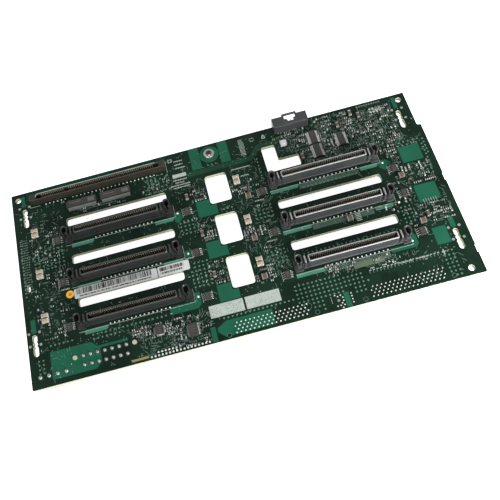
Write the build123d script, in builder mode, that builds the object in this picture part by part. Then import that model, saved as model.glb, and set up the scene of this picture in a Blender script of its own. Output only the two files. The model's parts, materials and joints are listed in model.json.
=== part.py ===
from build123d import *
from math import cos, pi, sin
import os

# Drive backplane board: a long printed circuit board with six blind-mate drive receptacles
# in two columns, a daughter card slot, a latching edge connector, and four headers behind.
# Millimetres. Places on the board are given from the lower left corner of its component side.

# Drive receptacles
CONTACT_PITCH = 1.27
CONTACTS_PER_ROW = 40
CONTACT_WIDTH = 0.6
CONTACT_BOW = 0.55
CONTACT_HEIGHT = 5.2
SLOT_END_ROOM = 0.3
SLOT_WIDTH = 3.2
SLOT_DEPTH = 6.2
BLOCK_WALL = 0.7
BLOCK_END_WALL = 0.8
BLOCK_HEIGHT = 8.2
BLOCK_RIM = 0.3
BLOCK_ROUNDING = 0.9
RAIL_LIP = 0.3
SHOULDER_LENGTH = 3.5
SHOULDER_DEPTH = 3.0
SHOULDER_HEIGHT = 4.4
RIB_THICKNESS = 0.9
RIB_DROP = 0.4
TOWER_LENGTH = 4.0
TOWER_DEPTH = 5.8
TOWER_HEIGHT = 9.0
TOWER_SETBACK = 0.8
TOWER_WALL = 0.75
TOWER_ROUNDING = 0.42
TOWER_LEAD_IN = 0.4
TOWER_SLIT = 1.1
SLIT_DEPTH = 4.4
POCKET_DEPTH = 7.0
FLANGE_DEPTH = 7.6
FLANGE_HEIGHT = 1.0
FLANGE_LIP = 0.5
FLANGE_CORNER = 0.9

# Layout of the board
LEFT_ZONE = 30.8
MIDDLE_ZONE = 60.8
RIGHT_ZONE = 33.4
LOWER_ZONE = 28.3
ROW_PITCH = 29.0
ROWS = 3
UPPER_ZONE = 37.1
BOARD_THICKNESS = 2.4
CORNER_RADIUS = 0.8
STEP_WIDTH = 2.4
STEP_LENGTH = 26.3
STEP_RADIUS = 1.1
TAB_LENGTH = 5.0
TAB_DEPTH = 0.6
TAB_HEIGHTS = (15.0, 64.8)

# Cut-outs
VENT_LENGTH = 64.4
VENT_WIDTH = 6.0
VENT_RADIUS = 1.6
VENT_RISE = 13.6
TOP_VENT_RISE = 11.3
WINDOW_LENGTH = 13.7
WINDOW_HEIGHT = 20.3
WINDOW_RADIUS = 1.8
WINDOW_RISE = 7.4
ANGLE_LEG = 8.8
ANGLE_FOOT = 21.7
ANGLE_RISE = 19.2
ANGLE_FOOT_HEIGHT = 8.3
ANGLE_START = 2.2
ANGLE_BASE = 8.5
ANGLE_RADIUS = 1.2

# Tooling holes, fixing slots and the plated bush
TOOLING_RADIUS = 1.85
TOOLING_INSET = 4.3
TOOLING_DROP = 4.6
TOOLING_STEP_INSET = 4.6
TOOLING_FOOT_INSET = 7.4
UPPER_FIXING_INSET = 7.8
UPPER_FIXING_DROP = 19.2
LEFT_FIXING_INSET = 4.7
LEFT_FIXING_RISE = 26.0
RIGHT_FIXING_INSET = 7.3
RIGHT_FIXING_RISE = 23.4
FIXING_SLOT_WIDTH = 3.1
FIXING_SLOT_LENGTH = 6.6
FIXING_BORE_RADIUS = 1.5
FIXING_BORE_RISE = 1.1
UPPER_SLOT_WIDTH = 2.9
UPPER_SLOT_LENGTH = 4.8
UPPER_SLOT_RISE = 4.5
SIDE_SLOT_LENGTH = 4.8
SIDE_SLOT_WIDTH = 1.9
SIDE_SLOT_INSET = 4.6
SIDE_SLOT_RISE = 2.2
BUSH_DROP = 7.6
BUSH_RIM_RADIUS = 3.4
BUSH_RIM_HEIGHT = 1.5
BUSH_BARREL_RADIUS = 2.7
BUSH_BORE_RADIUS = 1.9
BUSH_CLEARANCE = 0.05
BUSH_SWAGE = 0.5

# Daughter card slot
CARD_POSITIONS = 58
CARD_PITCH = 1.27
CARD_KEY = (12, 13)
CARD_DEPTH = 4.4
CARD_HEIGHT = 5.2
CARD_SLOT_WIDTH = 2.7
CARD_SLOT_DEPTH = 4.0
CARD_END_ROOM = 3.57
CARD_END_WALL = 3.6
CARD_SLOT_RADIUS = 1.2
CARD_SLOT_LEAD_IN = 0.4
CARD_CORNER = 0.8
CARD_DROP = 11.0
CARD_SHIFT = -7.9
CARD_CONTACT_HEIGHT = 3.2

# Latching connector on the upper edge
LATCH_LENGTH = 22.4
LATCH_REACH = 5.7
LATCH_OVERHANG = 1.4
LATCH_HEIGHT = 6.0
LATCH_WALL = 1.0
LATCH_SHIFT = -10.1
LATCH_CAVITY_DEPTH = 5.4
LATCH_WINDOW_LENGTH = 7.2
LATCH_WINDOW_DEPTH = 3.0
LATCH_WINDOW_SHIFT = 0.4
LATCH_KEY_LENGTH = 4.2
LATCH_KEY_DEPTH = 1.9
LATCH_STRAP_WIDTH = 1.1
LATCH_STRAP_STEP = 1.5
LATCH_PINS = 8
LATCH_PIN_PITCH = 2.0
LATCH_PIN_WIDTH = 0.5
LATCH_PIN_LENGTH = 3.4

# Disk power header behind the lower left corner
DISK_PINS = 4
DISK_PITCH = 5.08
DISK_FIRST_PIN = 5.4
DISK_PIN_RISE = 6.6
DISK_LENGTH = 23.2
DISK_DEPTH = 7.8
DISK_HEIGHT = 11.2
DISK_WALL = 1.1
DISK_FLOOR = 2.0
DISK_CHAMFER = 2.0
DISK_PIN_RADIUS = 1.05
DISK_TAIL_RADIUS = 0.7
DISK_PIN_RECESS = 1.5

# Board power header, two rows of seven
POWER_COLUMNS = 7
POWER_ROWS = 2
POWER_PITCH = 4.2
POWER_ROW_PITCH = 5.5
POWER_FIRST_PIN = 31.4
POWER_LOWER_ROW = 7.4
POWER_MARGIN = 2.7
POWER_SIDE_MARGIN = 2.05
POWER_HEIGHT = 12.8
POWER_CELL = 3.4
POWER_FLOOR = 3.0
POWER_PIN_WIDTH = 1.07
POWER_PIN_RECESS = 2.2
POWER_EAR_REACH = 3.2
POWER_EAR_HEIGHT = 2.6
POWER_EAR_DEPTH = 4.2
POWER_PEG_REACH = 2.2
POWER_PEG_RADIUS = 1.35
POWER_PEG_STAND = 0.5
PIN_CLEARANCE = 0.15
PIN_STAND = 1.2

# How finely small round forms are faceted
PIN_SIDES = 8
PEG_SIDES = 12
RIM_SIDES = 28
FINE_FLATS = 4
POINT_DECIMALS = 6

# Ribbon headers, 68 ways each, behind the lower edge
RIBBON_RISE = 5.7
RIBBON_LENGTH = 54.0
RIBBON_DEPTH = 6.8
RIBBON_HEIGHT = 6.0
RIBBON_MOUTH_LENGTH = 45.0
RIBBON_MOUTH_DEPTH = 3.6
RIBBON_MOUTH_SINK = 4.6
RIBBON_EAR_LENGTH = 3.6
RIBBON_EAR_ROUNDING = 1.2
RIBBON_EAR_HEIGHT = 4.0
LEFT_RIBBON_SHIFT = 9.9
RIGHT_RIBBON_SHIFT = 24.2

# Chips, lamps and passives
SMALL_CHIP = (3.9, 5.0, 1.6)
SHRINK_CHIP = (4.4, 9.7, 1.2)
LONG_CHIP = (19.8, 4.6, 2.2)
LOGIC_CHIP = (5.2, 5.2, 1.4)
SCAN_CHIP = (5.4, 8.0, 1.8)
CHIP_STAND = 0.1
LAMP = (3.6, 2.5, 1.9)
LAMP_PITCH = 3.2
CAPACITOR = (3.2, 3.0, 1.8)
SLIM_CAPACITOR = (1.8, 3.6, 1.4)
FUSE = (4.3, 3.3, 2.4)
CHIP_DRAFT = 10
LAMP_DRAFT = 6
FUSE_DRAFT = 3

# Steps across and up to a small piece from the end of the receptacle that it serves
LEFT_SWITCH = (-4.6, 0.0)
INNER_SWITCH = (8.4, -3.6)
RIGHT_SWITCH = (-4.8, -3.6)
OUTER_SWITCHES = ((8.0, 1.4), (6.8, -0.6), (6.5, -11.6))
LAMP_STEP = (-18.2, 9.1)
RIGHT_CAPACITORS = ((-17.8, -0.8), (-17.2, -4.1), (-13.8, -4.0))
OUTER_CAPACITORS = ((10.8, 7.7), (9.3, -17.6))
INNER_SLIMS = ((15.2, 8.6), (14.0, 7.8), (10.2, 6.3))
OUTER_SLIM = (15.2, 11.3)

# Steps from the middle of the right column's upper or middle receptacle
MIDDLE_CAPACITOR = (5.6, -7.9)
MIDDLE_SLIM = (-8.8, 13.2)

# Steps from a column's middle down from the upper edge, and up from the lower edge
SENSORS = ((1.4, -15.6), (1.4, -26.0), (17.7, -22.0))
UPPER_SLIMS = ((28.5, -5.3), (18.4, -11.6), (33.1, -8.6))
FUSE_STEP = (-17.9, -14.8)
TERMINATORS = ((-20.5, -18.4), (1.5, -18.4))
LOGIC_STEP = (11.6, 15.9)
SCAN_STEP = (30.5, 10.9)

# Labels
LABEL_THICKNESS = 0.12
LABEL_WIDTH = 6.4
SERIAL_LABEL_LENGTH = 50.8
PART_LABEL_LENGTH = 19.2
LABEL_GAP = 0.5
LABEL_RADIUS = 0.8
LABEL_INSET = 0.6
LABEL_DROP = 2.4
DOT_RADIUS = 2.45
DOT_GAP = 0.1
DOT_RISE = 0.8

# Sizes that follow
slot_length = CONTACTS_PER_ROW * CONTACT_PITCH + 2 * SLOT_END_ROOM
block_length = slot_length + 2 * BLOCK_END_WALL
block_depth = SLOT_WIDTH + 2 * BLOCK_WALL
card_slot_length = CARD_POSITIONS * CARD_PITCH + 2 * CARD_END_ROOM
card_length = card_slot_length + 2 * CARD_END_WALL
tower_offset = block_length / 2 + SHOULDER_LENGTH + TOWER_LENGTH / 2
receptacle_length = block_length + 2 * (SHOULDER_LENGTH + TOWER_LENGTH + FLANGE_LIP)
left_column = LEFT_ZONE + receptacle_length / 2
right_column = left_column + receptacle_length + MIDDLE_ZONE
middle = left_column + receptacle_length / 2 + MIDDLE_ZONE / 2
board_length = right_column + receptacle_length / 2 + RIGHT_ZONE
row_heights = [LOWER_ZONE + FLANGE_DEPTH / 2 + i * ROW_PITCH for i in range(ROWS)]
top_row = row_heights[-1]
board_width = top_row + FLANGE_DEPTH / 2 + UPPER_ZONE
columns = (left_column, right_column)
power_length = (POWER_COLUMNS - 1) * POWER_PITCH + 2 * POWER_MARGIN
power_depth = (POWER_ROWS - 1) * POWER_ROW_PITCH + 2 * POWER_SIDE_MARGIN
power_hole = POWER_PIN_WIDTH / 2**0.5 + PIN_CLEARANCE
power_x = POWER_FIRST_PIN + (POWER_COLUMNS - 1) * POWER_PITCH / 2
power_y = POWER_LOWER_ROW + (POWER_ROWS - 1) * POWER_ROW_PITCH / 2
peg_offset = power_length / 2 + POWER_PEG_REACH
peg_y = POWER_LOWER_ROW + (POWER_ROWS - 1) * POWER_ROW_PITCH
disk_x = DISK_FIRST_PIN + (DISK_PINS - 1) * DISK_PITCH / 2
bush_y = board_width - BUSH_DROP
back_height = max(DISK_HEIGHT, POWER_HEIGHT, RIBBON_HEIGHT)
outline_width = board_width + LATCH_OVERHANG + LATCH_STRAP_STEP

os.makedirs("parts", exist_ok=True)


def seat(x=0.0, y=0.0, height=0.0):
    """Plane over a point of the component side; a negative height lies below that side."""
    face_height = back_height + BOARD_THICKNESS
    return Plane(origin=(x - board_length / 2, y - outline_width / 2, face_height + height))


def behind(x=0.0, y=0.0, drop=0.0):
    """Plane under a point of the board, a drop below its rear side."""
    return seat(x, y, -BOARD_THICKNESS - drop)


def save(piece, name):
    piece.part.label = name
    export_step(piece.part, f"parts/{name}.step")


def faceted(length, width, cut, flats=2):
    """A rectangle with each corner cut in short flats, close to a rounding of that radius."""
    angles = [pi / 2 * i / flats for i in range(flats + 1)]
    steps = [(cut * (1 - sin(angle)), cut * (1 - cos(angle))) for angle in angles]
    points = []
    for side_x, side_y in [(1, -1), (1, 1), (-1, 1), (-1, -1)]:
        corner = [(side_x * (length / 2 - dx), side_y * (width / 2 - dy)) for dx, dy in steps]
        points += reversed(corner) if side_x * side_y > 0 else corner
    rounded = [(round(px, POINT_DECIMALS), round(py, POINT_DECIMALS)) for px, py in points]
    Polygon(*dict.fromkeys(rounded), align=None)


def fixing_slot():
    """A milled slot that runs on upwards through a drilled bore into a second, shorter slot."""
    with Locations((0, -FIXING_SLOT_LENGTH / 2)):
        faceted(FIXING_SLOT_WIDTH, FIXING_SLOT_LENGTH, FIXING_SLOT_WIDTH / 2, FINE_FLATS)
    with Locations((0, FIXING_BORE_RISE)):
        RegularPolygon(FIXING_BORE_RADIUS, PEG_SIDES)
    with Locations((0, UPPER_SLOT_RISE)):
        faceted(UPPER_SLOT_WIDTH, UPPER_SLOT_LENGTH, UPPER_SLOT_WIDTH / 2, FINE_FLATS)


def circuit_board():
    """The board: one laminate sheet with its step, cut-outs, slots and holes."""
    step_edge = board_length - STEP_WIDTH
    fixings = [
        (UPPER_FIXING_INSET, board_width - UPPER_FIXING_DROP),
        (step_edge - UPPER_FIXING_INSET, board_width - UPPER_FIXING_DROP),
        (LEFT_FIXING_INSET, LEFT_FIXING_RISE),
        (board_length - RIGHT_FIXING_INSET, RIGHT_FIXING_RISE),
    ]
    toolings = [
        (TOOLING_INSET, board_width - TOOLING_DROP),
        (step_edge - TOOLING_STEP_INSET, board_width - TOOLING_DROP),
        (board_length - TOOLING_FOOT_INSET, TOOLING_INSET),
    ]
    vents = [(x, y + VENT_RISE) for x in columns for y in row_heights[:-1]]
    vents.append((left_column, top_row + TOP_VENT_RISE))
    windows = [(middle, y + WINDOW_RISE) for y in row_heights]
    disk_tails = [(DISK_FIRST_PIN + i * DISK_PITCH, DISK_PIN_RISE) for i in range(DISK_PINS)]
    angle_x = right_column - receptacle_length / 2 + ANGLE_START
    angle_y = top_row + ANGLE_BASE

    with BuildPart() as board:
        with BuildSketch(behind()):
            Rectangle(board_length, board_width, align=(Align.MIN, Align.MIN))
            with Locations((board_length, board_width)):
                Rectangle(STEP_WIDTH, STEP_LENGTH, align=(Align.MAX, Align.MAX), mode=Mode.SUBTRACT)
            with Locations(*[(board_length, y) for y in TAB_HEIGHTS]):
                Rectangle(2 * TAB_DEPTH, TAB_LENGTH, mode=Mode.SUBTRACT)
        extrude(amount=BOARD_THICKNESS)
        uprights = board.edges().filter_by(Axis.Z)
        step_corners = uprights.filter_by(
            lambda e: abs(e.center().Y + outline_width / 2 - board_width + STEP_LENGTH) < STEP_RADIUS
        )
        corners = uprights.group_by(Axis.X)[0] + uprights.group_by(Axis.X)[-1].group_by(Axis.Y)[0]
        fillet(step_corners, STEP_RADIUS)
        fillet(corners, CORNER_RADIUS)

        with BuildSketch(behind()):
            with Locations(*vents):
                faceted(VENT_LENGTH, VENT_WIDTH, VENT_RADIUS, FINE_FLATS)
            with Locations(*windows):
                faceted(WINDOW_LENGTH, WINDOW_HEIGHT, WINDOW_RADIUS, FINE_FLATS)
            with Locations(*toolings):
                Circle(TOOLING_RADIUS)
            with Locations((SIDE_SLOT_INSET, row_heights[1] + SIDE_SLOT_RISE)):
                SlotOverall(SIDE_SLOT_LENGTH, SIDE_SLOT_WIDTH, rotation=90)
            with Locations((middle, bush_y)):
                RegularPolygon(BUSH_BARREL_RADIUS + BUSH_CLEARANCE, PEG_SIDES, major_radius=False)
            with Locations(*disk_tails):
                RegularPolygon(DISK_TAIL_RADIUS + PIN_CLEARANCE, PIN_SIDES, major_radius=False)
            with Locations((power_x, power_y)):
                with GridLocations(POWER_PITCH, POWER_ROW_PITCH, POWER_COLUMNS, POWER_ROWS):
                    RegularPolygon(power_hole, PIN_SIDES, major_radius=False)
            with Locations((power_x - peg_offset, peg_y), (power_x + peg_offset, peg_y)):
                RegularPolygon(POWER_PEG_RADIUS + PIN_CLEARANCE, PEG_SIDES, major_radius=False)
        extrude(amount=BOARD_THICKNESS, mode=Mode.SUBTRACT)

        with BuildSketch(behind(angle_x, angle_y)) as angle:
            Rectangle(ANGLE_LEG, ANGLE_RISE, align=(Align.MIN, Align.MIN))
            Rectangle(ANGLE_FOOT, ANGLE_FOOT_HEIGHT, align=(Align.MIN, Align.MIN))
            fillet(angle.vertices(), ANGLE_RADIUS)
        extrude(amount=BOARD_THICKNESS, mode=Mode.SUBTRACT)

        for x, y in fixings:
            with BuildSketch(behind(x, y)):
                fixing_slot()
            extrude(amount=BOARD_THICKNESS, mode=Mode.SUBTRACT)
    save(board, "circuit_board")


def drive_receptacle(x, y, name):
    """One moulded housing: rail, slotted centre block, ribbed shoulders and two guide towers."""
    with BuildPart() as housing:
        with BuildSketch(seat(x, y)):
            Rectangle(2 * tower_offset, block_depth + 2 * RAIL_LIP)
            with GridLocations(2 * tower_offset, 0, 2, 1):
                faceted(TOWER_LENGTH + 2 * FLANGE_LIP, FLANGE_DEPTH, FLANGE_CORNER)
        extrude(amount=FLANGE_HEIGHT)
        with BuildSketch(seat(x, y, FLANGE_HEIGHT)):
            faceted(block_length, block_depth, BLOCK_ROUNDING)
        extrude(amount=BLOCK_HEIGHT - FLANGE_HEIGHT)
        chamfer(housing.faces().sort_by(Axis.Z)[-1].edges(), BLOCK_RIM)
        with BuildSketch(seat(x, y, FLANGE_HEIGHT)):
            with GridLocations(block_length + SHOULDER_LENGTH, 0, 2, 1):
                Rectangle(SHOULDER_LENGTH, SHOULDER_DEPTH)
        extrude(amount=SHOULDER_HEIGHT - FLANGE_HEIGHT)
        with BuildSketch(seat(x, y, FLANGE_HEIGHT)):
            with GridLocations(block_length + SHOULDER_LENGTH, 0, 2, 1):
                Rectangle(RIB_THICKNESS, block_depth)
        extrude(amount=BLOCK_HEIGHT - FLANGE_HEIGHT - RIB_DROP)

        back = y + TOWER_SETBACK
        with BuildSketch(seat(x, back, FLANGE_HEIGHT)):
            with GridLocations(2 * tower_offset, 0, 2, 1):
                faceted(TOWER_LENGTH, TOWER_DEPTH, TOWER_LENGTH * TOWER_ROUNDING)
        extrude(amount=TOWER_HEIGHT - FLANGE_HEIGHT)
        pocket_length = TOWER_LENGTH - 2 * TOWER_WALL
        pocket_width = TOWER_DEPTH - 2 * TOWER_WALL
        with BuildSketch(seat(x, back, TOWER_HEIGHT)):
            with GridLocations(2 * tower_offset, 0, 2, 1):
                faceted(pocket_length, pocket_width, pocket_length * TOWER_ROUNDING)
        extrude(amount=-POCKET_DEPTH, mode=Mode.SUBTRACT)
        rims = housing.faces().sort_by(Axis.Z)[-2:]
        mouths = [edge for rim in rims for wire in rim.inner_wires() for edge in wire.edges()]
        chamfer(mouths, TOWER_LEAD_IN)
        with BuildSketch(seat(x, back - TOWER_DEPTH / 2, TOWER_HEIGHT)):
            with GridLocations(2 * tower_offset, 0, 2, 1):
                Rectangle(TOWER_SLIT, TOWER_DEPTH / 2, align=(Align.CENTER, Align.MIN))
        extrude(amount=-SLIT_DEPTH, mode=Mode.SUBTRACT)

        with BuildSketch(seat(x, y, BLOCK_HEIGHT)):
            Rectangle(slot_length, SLOT_WIDTH)
        extrude(amount=-SLOT_DEPTH, mode=Mode.SUBTRACT)
    save(housing, name)


def drive_contacts(x, y, name):
    """Two facing rows of bowed contacts, seated on the slot's walls and floor."""
    wall = SLOT_WIDTH / 2
    half = CONTACT_WIDTH / 2
    with BuildPart() as contacts:
        with BuildSketch(seat(x, y, BLOCK_HEIGHT - SLOT_DEPTH)):
            with GridLocations(CONTACT_PITCH, 0, CONTACTS_PER_ROW, 1):
                Polygon((-half, wall), (0, wall - CONTACT_BOW), (half, wall), align=None)
                Polygon((half, -wall), (0, CONTACT_BOW - wall), (-half, -wall), align=None)
        extrude(amount=CONTACT_HEIGHT)
    save(contacts, name)


def card_slot():
    """The low slot connector for the daughter card, beside the upper edge."""
    x = left_column + CARD_SHIFT
    y = board_width - CARD_DROP + CARD_DEPTH / 2
    side_wall = (CARD_DEPTH - CARD_SLOT_WIDTH) / 2
    with BuildPart() as housing:
        with BuildSketch(seat(x, y)):
            faceted(card_length, CARD_DEPTH, CARD_CORNER)
        extrude(amount=CARD_HEIGHT)
        chamfer(housing.faces().sort_by(Axis.Z)[-1].edges(), side_wall / 4)
        with BuildSketch(seat(x, y, CARD_HEIGHT)):
            faceted(card_slot_length, CARD_SLOT_WIDTH, CARD_SLOT_RADIUS)
        extrude(amount=-CARD_SLOT_DEPTH, mode=Mode.SUBTRACT)
        mouth = housing.faces().sort_by(Axis.Z)[-1].inner_wires()[0]
        chamfer(mouth.edges(), CARD_SLOT_LEAD_IN)
    save(housing, "card_slot_housing")

    wall = CARD_SLOT_WIDTH / 2
    half = CONTACT_WIDTH / 2
    first = -(CARD_POSITIONS - 1) / 2
    places = [((first + i) * CARD_PITCH, 0) for i in range(CARD_POSITIONS) if i not in CARD_KEY]
    with BuildPart() as contacts:
        with BuildSketch(seat(x, y, CARD_HEIGHT - CARD_SLOT_DEPTH)):
            with Locations(*places):
                Polygon((-half, wall), (0, wall - CONTACT_BOW), (half, wall), align=None)
                Polygon((half, -wall), (0, CONTACT_BOW - wall), (-half, -wall), align=None)
        extrude(amount=CARD_CONTACT_HEIGHT)
    save(contacts, "card_slot_contacts")


def latch_connector():
    """A right-angle socket that looks over the upper edge, with a latch window in its roof."""
    x = right_column + LATCH_SHIFT
    window_x = x + LATCH_WINDOW_SHIFT
    front = board_width + LATCH_OVERHANG
    depth = LATCH_REACH + LATCH_OVERHANG
    cavity_height = LATCH_HEIGHT - 2 * LATCH_WALL
    with BuildPart() as housing:
        with BuildSketch(seat(x, front)):
            Rectangle(LATCH_LENGTH, depth, align=(Align.CENTER, Align.MAX))
        extrude(amount=LATCH_HEIGHT)
        with BuildSketch(seat(x, front, LATCH_WALL)):
            Rectangle(LATCH_LENGTH - 2 * LATCH_WALL, LATCH_CAVITY_DEPTH, align=(Align.CENTER, Align.MAX))
        extrude(amount=cavity_height, mode=Mode.SUBTRACT)
        with BuildSketch(seat(window_x, front)):
            Rectangle(LATCH_WINDOW_LENGTH, LATCH_WINDOW_DEPTH, align=(Align.CENTER, Align.MAX))
        extrude(amount=LATCH_WALL, mode=Mode.SUBTRACT)
        with BuildSketch(seat(window_x, front, LATCH_HEIGHT - LATCH_WALL)):
            Rectangle(
                LATCH_WINDOW_LENGTH + 2 * LATCH_STRAP_WIDTH,
                LATCH_STRAP_STEP,
                align=(Align.CENTER, Align.MIN),
            )
        extrude(amount=LATCH_WALL)
        with BuildSketch(seat(window_x, front + LATCH_STRAP_STEP - LATCH_STRAP_WIDTH, LATCH_HEIGHT)):
            Rectangle(LATCH_WINDOW_LENGTH, LATCH_WINDOW_DEPTH, align=(Align.CENTER, Align.MAX))
            with Locations((0, -LATCH_WINDOW_DEPTH)):
                Rectangle(LATCH_KEY_LENGTH, LATCH_KEY_DEPTH, align=(Align.CENTER, Align.MAX))
        extrude(amount=-LATCH_WALL, mode=Mode.SUBTRACT)
        fillet(housing.edges().filter_by(Axis.Z).group_by(Axis.Y)[0], LATCH_WALL / 2)
    save(housing, "latch_connector")

    back_wall = front - LATCH_CAVITY_DEPTH
    mid_height = LATCH_HEIGHT / 2
    with BuildPart() as pins:
        with BuildSketch(Plane(seat(x, back_wall, mid_height).origin, x_dir=(1, 0, 0), z_dir=(0, -1, 0))):
            with GridLocations(LATCH_PIN_PITCH, LATCH_PIN_PITCH, LATCH_PINS, 2):
                Rectangle(LATCH_PIN_WIDTH, LATCH_PIN_WIDTH)
        extrude(amount=-LATCH_PIN_LENGTH)
    save(pins, "latch_contacts")


def disk_power_header():
    """A shrouded four-pin power header behind the board, with two cut corners for its key."""
    y = DISK_PIN_RISE
    with BuildPart() as shroud:
        with BuildSketch(behind(disk_x, y, DISK_HEIGHT)):
            Rectangle(DISK_LENGTH, DISK_DEPTH)
        extrude(amount=DISK_HEIGHT)
        chamfer(shroud.edges().filter_by(Axis.Z).group_by(Axis.Y)[-1], DISK_CHAMFER)
        with BuildSketch(behind(disk_x, y, DISK_HEIGHT)) as mouth:
            Rectangle(DISK_LENGTH - 2 * DISK_WALL, DISK_DEPTH - 2 * DISK_WALL)
            chamfer(mouth.vertices().group_by(Axis.Y)[-1], DISK_CHAMFER)
        extrude(amount=DISK_HEIGHT - DISK_FLOOR, mode=Mode.SUBTRACT)
        with BuildSketch(behind(disk_x, y)):
            with GridLocations(DISK_PITCH, 0, DISK_PINS, 1):
                RegularPolygon(DISK_PIN_RADIUS, PIN_SIDES)
        extrude(amount=-DISK_FLOOR, mode=Mode.SUBTRACT)
    save(shroud, "disk_power_header")

    pin_end = DISK_HEIGHT - DISK_PIN_RECESS
    with BuildPart() as pins:
        with BuildSketch(behind(disk_x, y)):
            with GridLocations(DISK_PITCH, 0, DISK_PINS, 1):
                RegularPolygon(DISK_PIN_RADIUS, PIN_SIDES)
        extrude(amount=-pin_end)
        chamfer(pins.faces().group_by(Axis.Z)[0].edges(), DISK_PIN_RADIUS / 2)
        with BuildSketch(behind(disk_x, y)):
            with GridLocations(DISK_PITCH, 0, DISK_PINS, 1):
                RegularPolygon(DISK_TAIL_RADIUS, PIN_SIDES)
        extrude(amount=BOARD_THICKNESS + PIN_STAND)
    save(pins, "disk_power_pins")


def board_power_header():
    """A two-row power header behind the board; its ears carry the pegs that locate it."""
    roof = POWER_HEIGHT - POWER_FLOOR
    with BuildPart() as body:
        with BuildSketch(behind(power_x, power_y, POWER_HEIGHT)):
            Rectangle(power_length, power_depth)
        extrude(amount=POWER_HEIGHT)
        with BuildSketch(behind(power_x, peg_y, POWER_EAR_HEIGHT)):
            Rectangle(2 * (peg_offset + POWER_EAR_REACH - POWER_PEG_REACH), POWER_EAR_DEPTH)
        extrude(amount=POWER_EAR_HEIGHT)
        with BuildSketch(behind(power_x, power_y, POWER_HEIGHT)):
            with GridLocations(POWER_PITCH, POWER_ROW_PITCH, POWER_COLUMNS, POWER_ROWS):
                Rectangle(POWER_CELL, POWER_CELL)
        extrude(amount=roof, mode=Mode.SUBTRACT)
        with BuildSketch(behind(power_x, power_y)):
            with GridLocations(POWER_PITCH, POWER_ROW_PITCH, POWER_COLUMNS, POWER_ROWS):
                Rectangle(POWER_PIN_WIDTH, POWER_PIN_WIDTH)
        extrude(amount=-POWER_FLOOR, mode=Mode.SUBTRACT)
        with BuildSketch(behind(power_x, peg_y)):
            with GridLocations(2 * peg_offset, 0, 2, 1):
                RegularPolygon(POWER_PEG_RADIUS, PEG_SIDES)
        extrude(amount=BOARD_THICKNESS + POWER_PEG_STAND)
    save(body, "board_power_header")

    with BuildPart() as pins:
        with BuildSketch(behind(power_x, power_y, POWER_HEIGHT - POWER_PIN_RECESS)):
            with GridLocations(POWER_PITCH, POWER_ROW_PITCH, POWER_COLUMNS, POWER_ROWS):
                Rectangle(POWER_PIN_WIDTH, POWER_PIN_WIDTH)
        extrude(amount=POWER_HEIGHT - POWER_PIN_RECESS + BOARD_THICKNESS + PIN_STAND)
    save(pins, "board_power_pins")


def ribbon_header(x, side):
    """A low 68-way header behind the lower edge, with an ear at each end."""
    with BuildPart() as body:
        with BuildSketch(behind(x, RIBBON_RISE, RIBBON_EAR_HEIGHT)):
            faceted(RIBBON_LENGTH, RIBBON_DEPTH, RIBBON_EAR_ROUNDING)
        extrude(amount=RIBBON_EAR_HEIGHT)
        with BuildSketch(behind(x, RIBBON_RISE, RIBBON_HEIGHT)):
            Rectangle(RIBBON_LENGTH - 2 * RIBBON_EAR_LENGTH, RIBBON_DEPTH)
        extrude(amount=RIBBON_HEIGHT - RIBBON_EAR_HEIGHT)
        with BuildSketch(behind(x, RIBBON_RISE, RIBBON_HEIGHT)) as mouth:
            Rectangle(RIBBON_MOUTH_LENGTH, RIBBON_MOUTH_DEPTH)
            chamfer(mouth.vertices().group_by(Axis.Y)[-1], RIBBON_MOUTH_DEPTH / 3)
        extrude(amount=RIBBON_MOUTH_SINK, mode=Mode.SUBTRACT)
    save(body, f"ribbon_header_{side}")


def mounting_bush():
    """A plated bush pressed into the board at the middle of the upper edge."""
    with BuildPart() as bush:
        with BuildSketch(behind(middle, bush_y)):
            RegularPolygon(BUSH_BARREL_RADIUS, PEG_SIDES, major_radius=False)
        extrude(amount=BOARD_THICKNESS)
        with BuildSketch(seat(middle, bush_y)):
            RegularPolygon(BUSH_RIM_RADIUS, RIM_SIDES)
        extrude(amount=BUSH_RIM_HEIGHT)
        chamfer(bush.faces().sort_by(Axis.Z)[-1].edges(), BUSH_RIM_HEIGHT / 4)
        with BuildSketch(behind(middle, bush_y)):
            RegularPolygon(BUSH_BARREL_RADIUS + BUSH_CLEARANCE + BUSH_SWAGE, RIM_SIDES)
        extrude(amount=-BUSH_SWAGE)
        with BuildSketch(behind(middle, bush_y, BUSH_SWAGE)):
            Circle(BUSH_BORE_RADIUS)
        extrude(amount=BUSH_SWAGE + BOARD_THICKNESS + BUSH_RIM_HEIGHT, mode=Mode.SUBTRACT)
    save(bush, "mounting_bush")


def stepped(x, y, steps):
    """The places reached from one point by each of the steps."""
    return [(x + across, y + up) for across, up in steps]


def packages(name, size, places, stand=CHIP_STAND, draft=CHIP_DRAFT):
    """Moulded packages of one size, drawn in a little towards the top."""
    length, width, height = size
    with BuildPart() as group:
        with BuildSketch(seat(height=stand)):
            with Locations(*places):
                Rectangle(length, width)
        extrude(amount=height - stand, taper=draft)
    save(group, name)


def flat_label(name, x, y, length, width):
    with BuildPart() as label:
        with BuildSketch(seat(x, y)):
            faceted(length, width, LABEL_RADIUS)
        extrude(amount=LABEL_THICKNESS)
    save(label, name)


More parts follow.
